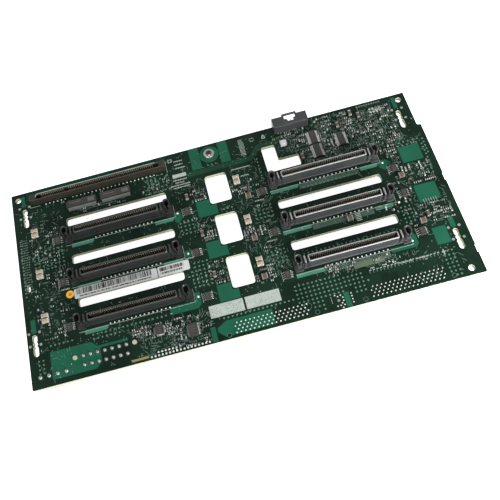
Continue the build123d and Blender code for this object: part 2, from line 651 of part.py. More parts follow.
def labels():
    """Two paper labels under the middle left receptacle, and an inspection dot beside them."""
    first_x = LEFT_ZONE + LABEL_INSET
    y = row_heights[1] - FLANGE_DEPTH / 2 - LABEL_DROP - LABEL_WIDTH / 2
    flat_label("serial_label", first_x + SERIAL_LABEL_LENGTH / 2, y, SERIAL_LABEL_LENGTH, LABEL_WIDTH)
    second_x = first_x + SERIAL_LABEL_LENGTH + LABEL_GAP
    flat_label("part_label", second_x + PART_LABEL_LENGTH / 2, y, PART_LABEL_LENGTH, LABEL_WIDTH)
    with BuildPart() as dot:
        with BuildSketch(seat(first_x - DOT_RADIUS - DOT_GAP, y + DOT_RISE)):
            RegularPolygon(DOT_RADIUS, RIM_SIDES)
        extrude(amount=LABEL_THICKNESS)
    save(dot, "inspection_dot")


def small_parts():
    """Chips, lamps and passives, each group placed from the receptacle or edge it serves."""
    left_ends = [x - receptacle_length / 2 for x in columns]
    right_ends = [x + receptacle_length / 2 for x in columns]
    rows = list(enumerate(row_heights))

    switches = [place for y in row_heights for place in stepped(left_ends[0], y, [LEFT_SWITCH])]
    switches += [place for y in row_heights for place in stepped(right_ends[0], y, [INNER_SWITCH])]
    switches += [place for y in row_heights for place in stepped(left_ends[1], y, [RIGHT_SWITCH])]
    switches += [place for i, y in rows for place in stepped(right_ends[1], y, [OUTER_SWITCHES[i]])]
    packages("bus_switch_chips", SMALL_CHIP, switches)
    packages("sensor_chips", SHRINK_CHIP, stepped(right_column, board_width, SENSORS))
    packages("terminator_chips", LONG_CHIP, stepped(left_column, board_width, TERMINATORS))
    packages("logic_chip", LOGIC_CHIP, stepped(left_column, 0, [LOGIC_STEP]))
    packages("scan_chip", SCAN_CHIP, stepped(left_column, 0, [SCAN_STEP]))

    bays = [place for x in left_ends for y in row_heights for place in stepped(x, y, [LAMP_STEP])]
    lamps = [(x, y + side * LAMP_PITCH / 2) for x, y in bays for side in (-1, 1)]
    packages("status_lamps", LAMP, lamps, stand=0.0, draft=LAMP_DRAFT)

    square = [place for i, y in rows for place in stepped(left_ends[1], y, [RIGHT_CAPACITORS[i]])]
    square += stepped(right_ends[1], row_heights[0], OUTER_CAPACITORS[:1])
    square += stepped(right_ends[1], top_row, OUTER_CAPACITORS[1:])
    square += stepped(right_column, row_heights[1], [MIDDLE_CAPACITOR])
    packages("bulk_capacitors", CAPACITOR, square, stand=0.0, draft=0)

    slim = [place for i, y in rows for place in stepped(right_ends[0], y, [INNER_SLIMS[i]])]
    slim += stepped(right_ends[1], row_heights[0], [OUTER_SLIM])
    slim += stepped(right_column, top_row, [MIDDLE_SLIM])
    slim += stepped(right_column, board_width, UPPER_SLIMS)
    packages("slim_capacitors", SLIM_CAPACITOR, slim, stand=0.0, draft=0)
    packages("line_fuse", FUSE, stepped(right_column, board_width, [FUSE_STEP]), stand=0.0, draft=FUSE_DRAFT)


circuit_board()
number = 1
for column in columns:
    for row in reversed(row_heights):
        drive_receptacle(column, row, f"drive_receptacle_{number}")
        drive_contacts(column, row, f"drive_contacts_{number}")
        number += 1
card_slot()
latch_connector()
disk_power_header()
board_power_header()
ribbon_header(middle + LEFT_RIBBON_SHIFT, "left")
ribbon_header(right_column + RIGHT_RIBBON_SHIFT, "right")
mounting_bush()
labels()
small_parts()
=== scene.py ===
# %% [markdown]
# # A drive backplane board
# The imported solids give every true size. This lesson adds what a maker sees on such a board:
# solder mask over copper, plated holes, chip leads, tiny resistors, white print and paper labels.
# We first load the solids, which stay where they are.
# %% Load the frame
import bmesh
import bpy
import json
import math
import random
from mathutils import Matrix, Vector


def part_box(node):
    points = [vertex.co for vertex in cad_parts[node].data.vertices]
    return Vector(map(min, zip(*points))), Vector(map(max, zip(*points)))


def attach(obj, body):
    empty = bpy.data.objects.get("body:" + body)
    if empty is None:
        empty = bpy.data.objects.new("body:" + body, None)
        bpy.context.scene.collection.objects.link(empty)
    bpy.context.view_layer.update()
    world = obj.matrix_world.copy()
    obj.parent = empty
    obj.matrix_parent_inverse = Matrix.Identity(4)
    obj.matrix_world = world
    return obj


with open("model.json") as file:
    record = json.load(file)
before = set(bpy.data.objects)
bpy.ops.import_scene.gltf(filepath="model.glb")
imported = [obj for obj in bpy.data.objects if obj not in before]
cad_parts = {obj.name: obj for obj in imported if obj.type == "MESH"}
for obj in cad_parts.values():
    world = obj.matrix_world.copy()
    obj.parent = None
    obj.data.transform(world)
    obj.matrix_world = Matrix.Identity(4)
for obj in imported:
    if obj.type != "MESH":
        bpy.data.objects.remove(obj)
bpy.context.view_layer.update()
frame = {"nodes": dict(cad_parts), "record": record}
nodes = frame["nodes"]
MM = 0.001
print("CAD nodes:", len(nodes))

# %% [markdown]
# ## Where things are
# Places on a board are read from its lower left corner, in millimetres, as on a drawing.
# One helper turns such a place into a point in the frame, at a height over the component face.
# %% Measure the board
board_low, board_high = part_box("circuit_board")
FACE = board_high.z
REAR = board_low.z


def on_board(x, y, height=0.0):
    """A point from millimetres along and up the board, over its component face."""
    return Vector((board_low.x + x * MM, board_low.y + y * MM, FACE + height * MM))


def to_board(point):
    """Millimetres along and up the board of a point in the frame."""
    return (point[0] - board_low.x) / MM, (point[1] - board_low.y) / MM


print("board", [round(v / MM, 2) for v in board_high - board_low], "mm")

# %% [markdown]
# A group node such as the chips holds many separate solids. Triangles that share a corner belong
# to one solid, so joining them up finds each solid's own box, and leads can start at its sides.
# %% Find the separate solids of a node
WELD = 1e-6


def solids(node):
    """The lowest and highest corner of each separate solid in a CAD node."""
    mesh = nodes[node].data
    keys = [tuple(round(c / WELD) for c in v.co) for v in mesh.vertices]
    leader = {key: key for key in keys}

    def find(key):
        while leader[key] != key:
            leader[key] = leader[leader[key]]
            key = leader[key]
        return key

    for face in mesh.polygons:
        first = find(keys[face.vertices[0]])
        for index in face.vertices[1:]:
            leader[find(keys[index])] = first
    boxes = {}
    for vertex, key in zip(mesh.vertices, keys):
        low, high = boxes.setdefault(find(key), (vertex.co.copy(), vertex.co.copy()))
        for axis in range(3):
            low[axis] = min(low[axis], vertex.co[axis])
            high[axis] = max(high[axis], vertex.co[axis])
    return sorted(boxes.values(), key=lambda box: (round(box[0].y, 5), round(box[0].x, 5)))


def footprints(node):
    """The lower left corner, the upper right corner and the top of each solid, in board millimetres."""
    return [(*to_board(low), *to_board(high), (high.z - FACE) / MM) for low, high in solids(node)]


def centres(node):
    """The board place of each solid's middle."""
    return [((x0 + x1) / 2, (y0 + y1) / 2) for x0, y0, x1, y1, top in footprints(node)]


print("bus switch chips:", len(solids("bus_switch_chips")))

# %% [markdown]
# ## The camera
# The board was photographed from above its lower edge, turned a little. The lens and the place
# come from the board's straight edges in the picture.
# %% Set the camera
LENS_MM = 37.324
SHIFT_X, SHIFT_Y = 0.0194, 0.1362
EYE = on_board(124.45, -88.01, 276.11)
FORWARD = Vector((-0.0051, 0.3363, -0.9418))
RIGHT = Vector((0.9666, -0.2398, -0.0909))


def new_object(name, data):
    """An object in the scene that holds the data."""
    made = bpy.data.objects.new(name, data)
    bpy.context.scene.collection.objects.link(made)
    return made


view = bpy.data.cameras.new("camera")
view.lens, view.shift_x, view.shift_y = LENS_MM, SHIFT_X, SHIFT_Y
view.sensor_width, view.clip_start = 36.0, 0.01
camera = new_object("camera", view)
forward = FORWARD.normalized()
right = (RIGHT - forward * RIGHT.dot(forward)).normalized()
up = right.cross(forward)
camera.matrix_world = Matrix.Translation(EYE) @ Matrix((right, up, -forward)).transposed().to_4x4()
bpy.context.scene.camera = camera
print("camera", [round(v, 4) for v in camera.location])

# %% [markdown]
# ## Working with nodes
# Looks and repeated forms both come from node trees. A few helpers add a node, do one sum, and set an
# input, or link it to a pair: a node and the name of its output.
# %% Add and link nodes


def linear(code, share=1.0):
    """A colour code as a screen shows it, at a share of its level, as the values that a shader needs."""
    def channel(value):
        value *= share / 255
        return value / 12.92 if value <= 0.04045 else ((value + 0.055) / 1.055) ** 2.4
    return (*(channel(int(code[i:i + 2], 16)) for i in (0, 2, 4)), 1.0)


def feed(node, values):
    """Sets inputs to values, or links them to pairs of a node and its output."""
    for key, value in values.items():
        if isinstance(value, tuple) and isinstance(value[0], bpy.types.Node):
            node.id_data.links.new(value[0].outputs[value[1]], node.inputs[key])
        else:
            node.inputs[key].default_value = value
    return node


def add(tree, kind, values=(), **settings):
    """A new node with its settings, and with inputs that are values or pairs."""
    node = tree.nodes.new(kind)
    for name, value in settings.items():
        setattr(node, name, value)
    return feed(node, dict(values))


def calc(tree, operation, *values, clamp=False):
    """A Math node over values or pairs, as a pair."""
    return add(tree, "ShaderNodeMath", dict(enumerate(values)), operation=operation, use_clamp=clamp), 0

# %% [markdown]
# ## Shared surface effects
# Every moulding on the board has slightly rounded edges, a fine grain and a little dust. Its edges are
# lightened as wear, and near the top rims also as a painted highlight. A shader node group holds that
# once, gives it out as masks and a normal, and takes each material's own sizes.
# Its Bevel node rounds the edges in the light alone, so the solids keep their few faces.
# %% Build the surface group
EDGE_GAIN, RIM_SHARE, BROAD_SCALE, UP_LEVEL = 8.0, 0.8, 130.0, 0.4
surface = tree = bpy.data.node_groups.new("moulded_surface", "ShaderNodeTree")
for name, value in (("Edge Radius", 0.0001), ("Grain Scale", 900.0), ("Grain Depth", 0.00001),
                    ("Rim Height", 0.0), ("Rim Reach", 1.0), ("Rim Highlight", 0.0)):
    tree.interface.new_socket(name, in_out="INPUT", socket_type="NodeSocketFloat").default_value = value
for name in ("Tone", "Wear And Highlight", "Dust"):
    tree.interface.new_socket(name, in_out="OUTPUT", socket_type="NodeSocketFloat")
tree.interface.new_socket("Normal", in_out="OUTPUT", socket_type="NodeSocketVector")
enter = add(tree, "NodeGroupInput")
place = add(tree, "ShaderNodeTexCoord"), "Object"
shape = add(tree, "ShaderNodeNewGeometry")
edge = add(tree, "ShaderNodeBevel", {"Radius": (enter, "Edge Radius")}, samples=4), "Normal"
grain = add(tree, "ShaderNodeTexNoise", {"Detail": 3.0, "Scale": (enter, "Grain Scale"), "Vector": place}), "Fac"
bump = add(tree, "ShaderNodeBump", {"Distance": (enter, "Grain Depth"), "Height": grain, "Normal": edge})
broad = add(tree, "ShaderNodeTexNoise", {"Scale": BROAD_SCALE, "Detail": 4.0, "Vector": place}), "Fac"
bend = add(tree, "ShaderNodeVectorMath", {0: edge, 1: (shape, "Normal")}, operation="DOT_PRODUCT")
turned = calc(tree, "SUBTRACT", 1.0, (bend, "Value"))
patchy = calc(tree, "MULTIPLY", calc(tree, "MULTIPLY", turned, EDGE_GAIN, clamp=True), grain)
level = add(tree, "ShaderNodeSeparateXYZ", {"Vector": place}), "Z"
distance = calc(tree, "ABSOLUTE", calc(tree, "SUBTRACT", level, (enter, "Rim Height")))
near = calc(tree, "LESS_THAN", distance, (enter, "Rim Reach"))
# Near the rim height the edge lightening keeps its full strength, elsewhere a fifth: a painted highlight on the rims.
kept = calc(tree, "MULTIPLY", patchy, calc(tree, "MULTIPLY_ADD", near, RIM_SHARE, 1 - RIM_SHARE))
face_up = add(tree, "ShaderNodeSeparateXYZ", {"Vector": (shape, "True Normal")}), "Z"
# Upward faces near the rim height get a painted highlight, as strong as the rim's third value.
top_rim = calc(tree, "MULTIPLY", calc(tree, "GREATER_THAN", face_up, UP_LEVEL), near)
wear_and_highlight = calc(tree, "MAXIMUM", kept, calc(tree, "MULTIPLY", top_rim, (enter, "Rim Highlight")))
upward = add(tree, "ShaderNodeSeparateXYZ", {"Vector": (shape, "Normal")}), "Z"
settled = calc(tree, "MULTIPLY", upward, broad, clamp=True)
add(tree, "NodeGroupOutput", {"Tone": broad, "Wear And Highlight": wear_and_highlight, "Dust": settled, "Normal": (bump, "Normal")})
print("group", surface.name, "sockets", len(surface.interface.items_tree))

# %% [markdown]
# A material mixes two tones of its colour by the broad noise, lightens the edges, as wear and as a
# painted highlight along the top rims, and lays a little pale dust on top. Values that are the same all
# over, such as metallic, are typed straight into the Principled shader.
# %% Make materials from the group
COLOUR_A, COLOUR_B, COLOUR_OUT = 6, 7, 2
ROUGH_SPREAD = 0.08
DUST_COLOUR = "b0b0a8"
materials = {}


def new_material(name):
    """The node tree and the shader of a new material, which the table keeps by its name."""
    material = materials[name] = bpy.data.materials.new(name)
    material.use_nodes = True
    return material.node_tree, material.node_tree.nodes["Principled BSDF"]


def mix_colour(tree, factor, first, second):
    """A mix of two colours or pairs, as a pair; the node's colour sockets go by number."""
    values = {"Factor": factor, COLOUR_A: first, COLOUR_B: second}
    return add(tree, "ShaderNodeMix", values, data_type="RGBA"), COLOUR_OUT


def scaled(tree, value, low, high):
    """A value between 0 and 1 moved to lie between low and high, as a pair."""
    return add(tree, "ShaderNodeMapRange", {"Value": value, "To Min": low, "To Max": high}), "Result"


def finish(name, tones, rough, metallic=0.0, edge=0.1, depth=0.01, dust=0.0, rim=(0.0, 1000.0, 0.0)):
    """A material from its light and dark tones and an edge tone, which lightens the edges as wear and as a
    painted highlight. The edge, the depth and the rim's height and reach are in millimetres; the rim's
    third value is the strength of a painted highlight on the top rim."""
    light, dark, wear_and_highlight = (linear(code) for code in tones.split())
    tree, shader = new_material(name)
    group = add(tree, "ShaderNodeGroup", {
        "Edge Radius": edge * MM, "Grain Depth": depth * MM, "Rim Height": rim[0] * MM,
        "Rim Reach": rim[1] * MM, "Rim Highlight": rim[2]}, node_tree=surface)
    body = mix_colour(tree, (group, "Tone"), dark, light)
    edges = mix_colour(tree, (group, "Wear And Highlight"), body, wear_and_highlight)
    dusty = scaled(tree, (group, "Dust"), 0.0, dust)
    feed(shader, {
        "Base Color": mix_colour(tree, dusty, edges, linear(DUST_COLOUR)), "Normal": (group, "Normal"),
        "Roughness": scaled(tree, (group, "Tone"), rough - ROUGH_SPREAD, rough + ROUGH_SPREAD),
        "Metallic": metallic})


# The connector blacks take a near white edge tone and rim values: a painted highlight along the receptacles' top
# rims.
finish("connector_black", "424345 2c2e2f f0eeec", 0.32, edge=0.34, depth=0.005, dust=0.03,
       rim=(23.2, 0.5, 0.3))
# A darker copy of the connector black: painted shade for the left receptacles.
finish("connector_painted_shade", "2c2d2c 1b1d1c 969692", 0.3, edge=0.3, dust=0.02,
       rim=(23.2, 0.5, 0.04))
finish("connector_brown", "38342d 24211c 746e62", 0.36, edge=0.12)
# A pale tone for the painted highlight along the card slot's lead-in.
finish("painted_edge_highlight", "b6bcb0 8c9488 c4cabe", 0.35, edge=0.02)
finish("package_black", "3e3c37 282724 686862", 0.5, edge=0.12, depth=0.02, dust=0.03)
finish("natural_nylon", "c0c0ae acac9a d4d4c6", 0.4, edge=0.15)
finish("contact_metal", "cec6b2 968e7c e8e4d8", 0.3, 0.3)
finish("tinned_metal", "c4c8c4 969a96 e2e2e2", 0.32, 0.6)
finish("bright_solder", "f0f2f0 d6dad6 fafafa", 0.3, 0.25)
finish("dull_solder", "969e96 747c75 b0b8b2", 0.4, 0.2)
finish("lead_grey", "969892 686b66 b0b2ac", 0.4, 0.2)
finish("bush_metal", "d6d8d0 92948e f4f6f0", 0.22, 0.85)
finish("lamp_white", "c4b69e a09078 d6cab2", 0.35, edge=0.12)
finish("capacitor_brown", "705e50 56463c 8c7a6a", 0.45)
finish("fuse_white", "d6d6da c0c0c4 e8e8ec", 0.35, edge=0.15)
finish("resistor_black", "2c2f2e 1c1e1e 464846", 0.35)
finish("capacitor_tan", "686c5e 4a4e42 848678", 0.4)
finish("print_white", "c2cac4 a0aca4 ccd0cc", 0.6, edge=0.02)
finish("print_faint", "70867a 465e52 7c8e84", 0.6, edge=0.02)
finish("label_paper", "dadcda cccecc dee0de", 0.55, edge=0.02)
finish("label_ink", "323232 222222 404040", 0.5, edge=0.01)
# Also the tone of the painted sheen on the terminator chips.
finish("chip_ink", "707270 525452 787a78", 0.5, edge=0.01)
finish("joint_dark", "3e4a42 242e28 5a645e", 0.45, edge=0.02)
finish("dot_yellow", "fac82a f0b81e fad65a", 0.5, edge=0.02, dust=0.12)
finish("dot_orange", "ec781e e06818 f08c3c", 0.5, edge=0.02, dust=0.12)
finish("gold_plate", "c4b270 aa9658 dcce96", 0.3, 0.8, edge=0.02, dust=0.12)

# %% [markdown]
# ## The laminate
# A board is glass cloth and resin, cream where it is cut, under a green lacquer. Seen closely,
# the lacquer is mottled by thousands of buried tracks. Fine waves in three directions, each in
# patches of its own, give that look without drawing any one track. The same shader takes brighter
# greens where copper lies just under the lacquer.
# %% Make the green lacquer
CLOUD_SCALE, PATCH_SCALE, TRACK_SCALE, LAYER_SCALE = 55.0, 95.0, 240.0, 900.0
PATCH_LEVEL = 0.62
CUT_SHADE = 0.86


def lacquer(name, tones, cut=None, lines=0.5):
    """Green lacquer with faint tracks under it; cut is the colour of sawn edges, if it has any."""
    deep, bright = (linear(code) for code in tones.split())
    tree, shader = new_material(name)
    place = add(tree, "ShaderNodeTexCoord"), "Object"
    cloud = add(tree, "ShaderNodeTexNoise", {"Scale": CLOUD_SCALE, "Detail": 5.0, "Vector": place}), "Fac"
    patches = add(tree, "ShaderNodeTexVoronoi", {"Scale": PATCH_SCALE, "Vector": place}, distance="CHEBYCHEV")
    pick = add(tree, "ShaderNodeSeparateColor", {"Color": (patches, "Color")})
    tracks = 0.0
    for channel, turn in (("Red", 0.0), ("Green", 90.0), ("Blue", 45.0)):
        turned = add(tree, "ShaderNodeMapping", {"Rotation": (0, 0, math.radians(turn)), "Vector": place}), "Vector"
        wave = add(tree, "ShaderNodeTexWave", {"Scale": TRACK_SCALE, "Distortion": 0.0, "Vector": turned}), "Fac"
        here = calc(tree, "GREATER_THAN", (pick, channel), PATCH_LEVEL)
        tracks = calc(tree, "MAXIMUM", tracks, calc(tree, "MULTIPLY", wave, here))
    faint = calc(tree, "MULTIPLY", tracks, lines)
    amount = calc(tree, "ADD", faint, scaled(tree, cloud, -0.35, 0.85), clamp=True)
    colour = mix_colour(tree, amount, deep, bright)
    if cut:
        shape = add(tree, "ShaderNodeNewGeometry")
        upward = add(tree, "ShaderNodeSeparateXYZ", {"Vector": (shape, "Normal")}), "Z"
        sawn = calc(tree, "LESS_THAN", calc(tree, "ABSOLUTE", upward), 0.5)
        layers = add(tree, "ShaderNodeTexWave", {
            "Scale": LAYER_SCALE, "Distortion": 0.6, "Vector": place}, bands_direction="Z")
        edge = mix_colour(tree, (layers, "Fac"), linear(cut), linear(cut, CUT_SHADE))
        colour = mix_colour(tree, sawn, colour, edge)
    bump = add(tree, "ShaderNodeBump", {"Distance": 0.012 * MM, "Height": amount})
    feed(shader, {
        "Base Color": colour, "Normal": (bump, "Normal"), "Roughness": scaled(tree, cloud, 0.28, 0.44),
        "Specular IOR Level": 0.1})


lacquer("laminate", "0c1d14 1e362a", cut="bec4a8", lines=0.35)
lacquer("masked_copper", "1c5842 286a52", lines=0.1)
lacquer("masked_teal", "3e7a64 5e9680", lines=0.15)
lacquer("masked_edge", "0e382a 1a503e", lines=0.2)
lacquer("masked_grey", "3a4e44 586c61", lines=0.3)
lacquer("masked_band", "1a3a2a 284c38", lines=0.3)
lacquer("masked_beige", "566452 74826e", lines=0.3)
lacquer("masked_via", "547a66 749a86", lines=0.0)
print("lacquers:", [name for name in materials if name.startswith(("lam", "mask"))])

# %% [markdown]
# ## Dress the solids
# Each solid keeps its mesh. Only its material slot changes, by what it is made of. The light falls off to
# the left, so the receptacles there take a darker copy of the black, which is painted shade.
# %% Give every CAD node its material
for part in frame["record"]["subparts"]:
    mesh = nodes[part["node"]].data
    mesh.materials.clear()
    mesh.materials.append(materials[part["material_slot"]])
# Painted shade: the three left receptacles take the darker copy of the black.
for n in (1, 2, 3):
    nodes[f"drive_receptacle_{n}"].data.materials[0] = materials["connector_painted_shade"]
print("dressed", len(nodes), "nodes")

# %% [markdown]
# The bush is bright outside, and inside its bore a painted shade darkens it. Within the bore's radius of
# its axis, a wave along the axis sets that shade in rings like a thread's.
# %% Shade the bush's bore
BORE_RADIUS = 1.95
THREAD_PITCH = 0.7
WAVE_BANDS = math.tau / 20
bush_low, bush_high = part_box("mounting_bush")
centre = (bush_low + bush_high) / 2
tree = materials["bush_metal"].node_tree
shader = tree.nodes["Principled BSDF"]
outside = shader.inputs["Base Color"].links[0].from_node, COLOUR_OUT
place = add(tree, "ShaderNodeTexCoord"), "Object"
apart = add(tree, "ShaderNodeVectorMath", {0: place, 1: centre}, operation="SUBTRACT"), "Vector"
flat = add(tree, "ShaderNodeVectorMath", {0: apart, 1: (1.0, 1.0, 0.0)}, operation="MULTIPLY"), "Vector"
reach = add(tree, "ShaderNodeVectorMath", {0: flat}, operation="LENGTH"), "Value"
inside = calc(tree, "LESS_THAN", reach, BORE_RADIUS * MM)
bands = WAVE_BANDS / (THREAD_PITCH * MM)
rings = add(tree, "ShaderNodeTexWave", {"Scale": bands, "Vector": place}, bands_direction="Z"), "Fac"
# Painted shade: dark rings on the bore's wall.
bore_shade = mix_colour(tree, rings, linear("10100f"), linear("3e3e3a"))
feed(shader, {"Base Color": mix_colour(tree, inside, outside, bore_shade)})
print("bore radius", BORE_RADIUS, "mm")

# %% [markdown]
# ## Copper under the lacquer
# A copper area is a thin sheet. Each one is a closed slab, a few hundredths of a millimetre
# thick, so it looks right from any side and prints no stray faces. A corner can be cut, as the
# board's own areas are.
# %% Make slabs from outlines
COPPER = 0.025
PAD = 0.05
PRINT = 0.06
INK = 0.03


def block(x0, x1, y0, y1, cuts=(0, 0, 0, 0)):
    """A rectangle with cut corners, in turn from the lower left, anticlockwise."""
    steps = [(x0, y0, 1, 1), (x1, y0, -1, 1), (x1, y1, -1, -1), (x0, y1, 1, -1)]
    points = []
    for i, (x, y, dx, dy) in enumerate(steps):
        cut = cuts[i]
        if not cut:
            points.append((x, y))
        elif i % 2:
            points += [(x + dx * cut, y), (x, y + dy * cut)]
        else:
            points += [(x, y + dy * cut), (x + dx * cut, y)]
    return points


SLOT_OF = {name: slot for slot, names in {
    "laminate": "masked_copper masked_teal masked_grey masked_band masked_edge masked_beige masked_via",
    "tinned_metal": "bright_solder dull_solder lead_grey joint_dark", "package_black": "resistor_black",
    "capacitor_brown": "capacitor_tan", "label_paper": "print_white print_faint label_ink chip_ink",
    "dot_yellow": "dot_orange", "contact_metal": "gold_plate", "connector_brown": "painted_edge_highlight",
}.items() for name in names.split()}


def carry(piece, material, slot=None):
    """Puts a piece on the board's body; the record's slot that its finish stands for is worked out but not used."""
    slot = slot or SLOT_OF.get(material, material)
    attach(piece, "root")


def slabs(name, outlines, thickness, material):
    """One piece of thin closed slabs, each from an outline in board millimetres."""
    mesh = bmesh.new()
    for outline in outlines:
        low = [mesh.verts.new(on_board(x, y)) for x, y in outline]
        high = [mesh.verts.new(on_board(x, y, thickness)) for x, y in outline]
        mesh.faces.new(low)
        mesh.faces.new(high)
        for i in range(len(outline)):
            j = (i + 1) % len(outline)
            mesh.faces.new((low[i], low[j], high[j], high[i]))
    bmesh.ops.recalc_face_normals(mesh, faces=mesh.faces)
    bmesh.ops.triangulate(mesh, faces=[f for f in mesh.faces if len(f.verts) > 4])
    data = bpy.data.meshes.new(name)
    mesh.to_mesh(data)
    mesh.free()
    data.materials.append(materials[material])
    carry(new_object(name, data), material)
    print(name, len(outlines), "slabs")


# %% [markdown]
# The brightest greens are the ground areas by the windows and at the ends. Two teal tones lie
# before the receptacles, and one wide dull band runs across the middle.
# %% Lay the copper areas
BUSH_X, BUSH_Y = to_board(centre)
THIN_COPPER = COPPER - 0.01


def half_ring(x, y, inner, outer, start, steps=20):
    """Half of a flat ring about a place, so that the hole in it stays open."""
    arc = [math.radians(start + 180 * i / steps) for i in range(steps + 1)]
    return ([(x + outer * math.cos(a), y + outer * math.sin(a)) for a in arc]
            + [(x + inner * math.cos(a), y + inner * math.sin(a)) for a in reversed(arc)])


areas = [
    half_ring(BUSH_X, BUSH_Y, 2.8, 6.1, 0),
    block(117.6, 124.0, 114.6, 130.6),
    block(136.6, 142.8, 114.6, 130.6),
    [(114.3, 80), (126.6, 80), (126.6, 86.8), (122.9, 86.8), (122.9, 91.3), (114.3, 91.3)],
    [(114.3, 51.3), (126.5, 51.3), (126.5, 57.8), (122.9, 57.8), (122.9, 62.3), (114.3, 62.3)],
    [(114.3, 22.8), (126.5, 22.8), (126.5, 28.8), (122.9, 28.8), (122.9, 33.7), (114.3, 33.7)],
    block(243.3, 256.1, 80.5, 92.0),
    block(243.2, 256.1, 51.5, 63.5),
    block(243.2, 251.3, 22.7, 33.8),
    [(12.4, 3.5), (38, 3.5), (41.5, 7), (41.5, 15), (58, 15), (58, 16.6), (40, 16.6), (36.5, 20), (12.4, 20)],
    [(109, 5.8), (112.8, 2), (141.6, 2), (141.6, 11.3), (115, 11.3), (109, 8)],
    block(105, 108, 0.6, 9.5),
    block(182.6, 185.6, 0.6, 9.4),
    [(217, 25.2), (231.6, 25.2), (233.2, 26.8), (233.2, 33), (231.8, 34.4), (230.4, 34.4), (230.4, 27.9),
     (217, 27.9)],
    block(228.6, 236, 79.6, 86.4, (2.4, 2.4, 2.4, 0)),
    block(99.6, 104, 80.8, 88.6, (1, 2, 1, 0)),
    block(100.4, 104.4, 56.4, 60.6, (1, 1, 1, 0)),
    [(85, 23), (101.5, 23), (103.8, 25.5), (103.8, 33), (100.6, 33), (100.6, 27.9), (85, 27.9)],
    half_ring(BUSH_X, BUSH_Y, 2.8, 6.1, 180),
    block(6.3, 8.6, 120.4, 128.5), block(251.6, 254, 120.6, 129, (0, 0.8, 0, 0)),
    block(3.2, 6.1, 33.9, 42.5), block(254.2, 257.2, 31.4, 40, (0, 0, 1.4, 1.4)),
]
slabs("masked_copper_areas", areas, COPPER, "masked_copper")
columns = [centres(f"drive_receptacle_{n}")[0][0] for n in (1, 4)]
rows = [centres(f"drive_receptacle_{n}")[0][1] for n in (3, 2, 1)]
bays = [(column, row) for column in columns for row in rows]
teal, grey = [], []
for row in rows:
    ends = [(0, -31, -17), (1, -34.6, -17)] + ([] if row == rows[0] else [(0, 22, 34), (1, 22, 33)])
    teal += [block(columns[k] + x0, columns[k] + x1, row - 7.1, row - 4.5, (0, 1, 0, 0)) for k, x0, x1 in ends]
    grey.append(block(columns[1] - 16.8, columns[1] + 20.8, row - 8.6, row - 5.4))
slabs("masked_teal_strips", teal, COPPER, "masked_teal")
slabs("masked_grey_strips", grey, THIN_COPPER, "masked_grey")
band = [[(113, 110.6), (155.6, 110.6), (162.6, 118.2), (174, 118.2), (174, 121.2), (161, 121.2),
         (154.2, 114.0), (143.2, 114.0), (117.2, 114.0), (113, 114.0)]]
slabs("masked_band", band, THIN_COPPER, "masked_band")
card_x0, card_y0, card_x1, card_y1, card_top = footprints("card_slot_housing")[0]
slabs("masked_edge_strip", [block(9.5, 102, card_y1 + 0.2, 130.7)], THIN_COPPER, "masked_edge")
slabs("masked_beige_strip", [block(193.6, 211.6, 21.6, 25.2, (0, 0, 0, 1.5))], COPPER + 0.015, "masked_beige")

# %% [markdown]
# ## What repeats
# Plated holes, solder joints, leads and resistors come in hundreds. Geometry Nodes suit them: a
# tree sets one small form on each point of a mesh, sweeps a strip along its edges, and leaves a
# plain mesh. The tree's named inputs are set by their identifiers before it is evaluated.
# %% Run a geometry tree over points


def new_tree(name, inputs):
    """A geometry tree with its named inputs and a Finish material, and its input node."""
    tree = bpy.data.node_groups.new(name, "GeometryNodeTree")
    tree.interface.new_socket("Geometry", in_out="INPUT", socket_type="NodeSocketGeometry")
    for label, kind, value in inputs:
        tree.interface.new_socket(label, in_out="INPUT", socket_type="NodeSocket" + kind).default_value = value
    tree.interface.new_socket("Finish", in_out="INPUT", socket_type="NodeSocketMaterial")
    tree.interface.new_socket("Geometry", in_out="OUTPUT", socket_type="NodeSocketGeometry")
    return tree, add(tree, "NodeGroupInput")


def close_tree(tree, enter, made):
    """Realizes instances, sets the Finish material and links the result to the tree's end."""
    real = add(tree, "GeometryNodeRealizeInstances", {"Geometry": made})
    paint = add(tree, "GeometryNodeSetMaterial", {"Geometry": (real, "Geometry"), "Material": (enter, "Finish")})
    add(tree, "NodeGroupOutput", {"Geometry": (paint, "Geometry")})
    return tree


def grow(name, tree, points, inputs, material, slot=None, marks=None, edges=()):
    """Runs the tree over points, edges and marked values, and leaves one plain mesh."""
    seeds = bpy.data.meshes.new(name)
    seeds.from_pydata([tuple(p) for p in points], list(edges), [])
    for key, values in (marks or {}).items():
        layer = seeds.attributes.new(key, "FLOAT_VECTOR", "POINT")
        layer.data.foreach_set("vector", [number for value in values for number in value])
    piece = new_object(name, seeds)
    modifier = piece.modifiers.new("grow", "NODES")
    modifier.node_group = tree
    sockets = {item.name: item.identifier for item in tree.interface.items_tree if item.in_out == "INPUT"}
    for label, value in {**inputs, "Finish": materials[material]}.items():
        modifier[sockets[label]] = value
    bpy.context.view_layer.update()
    graph = bpy.context.evaluated_depsgraph_get()
    mesh = bpy.data.meshes.new_from_object(piece.evaluated_get(graph))
    piece.modifiers.clear()
    piece.data = mesh
    mesh.name = name
    carry(piece, material, slot)
    print(name, len(points), "points,", len(mesh.polygons), "faces")

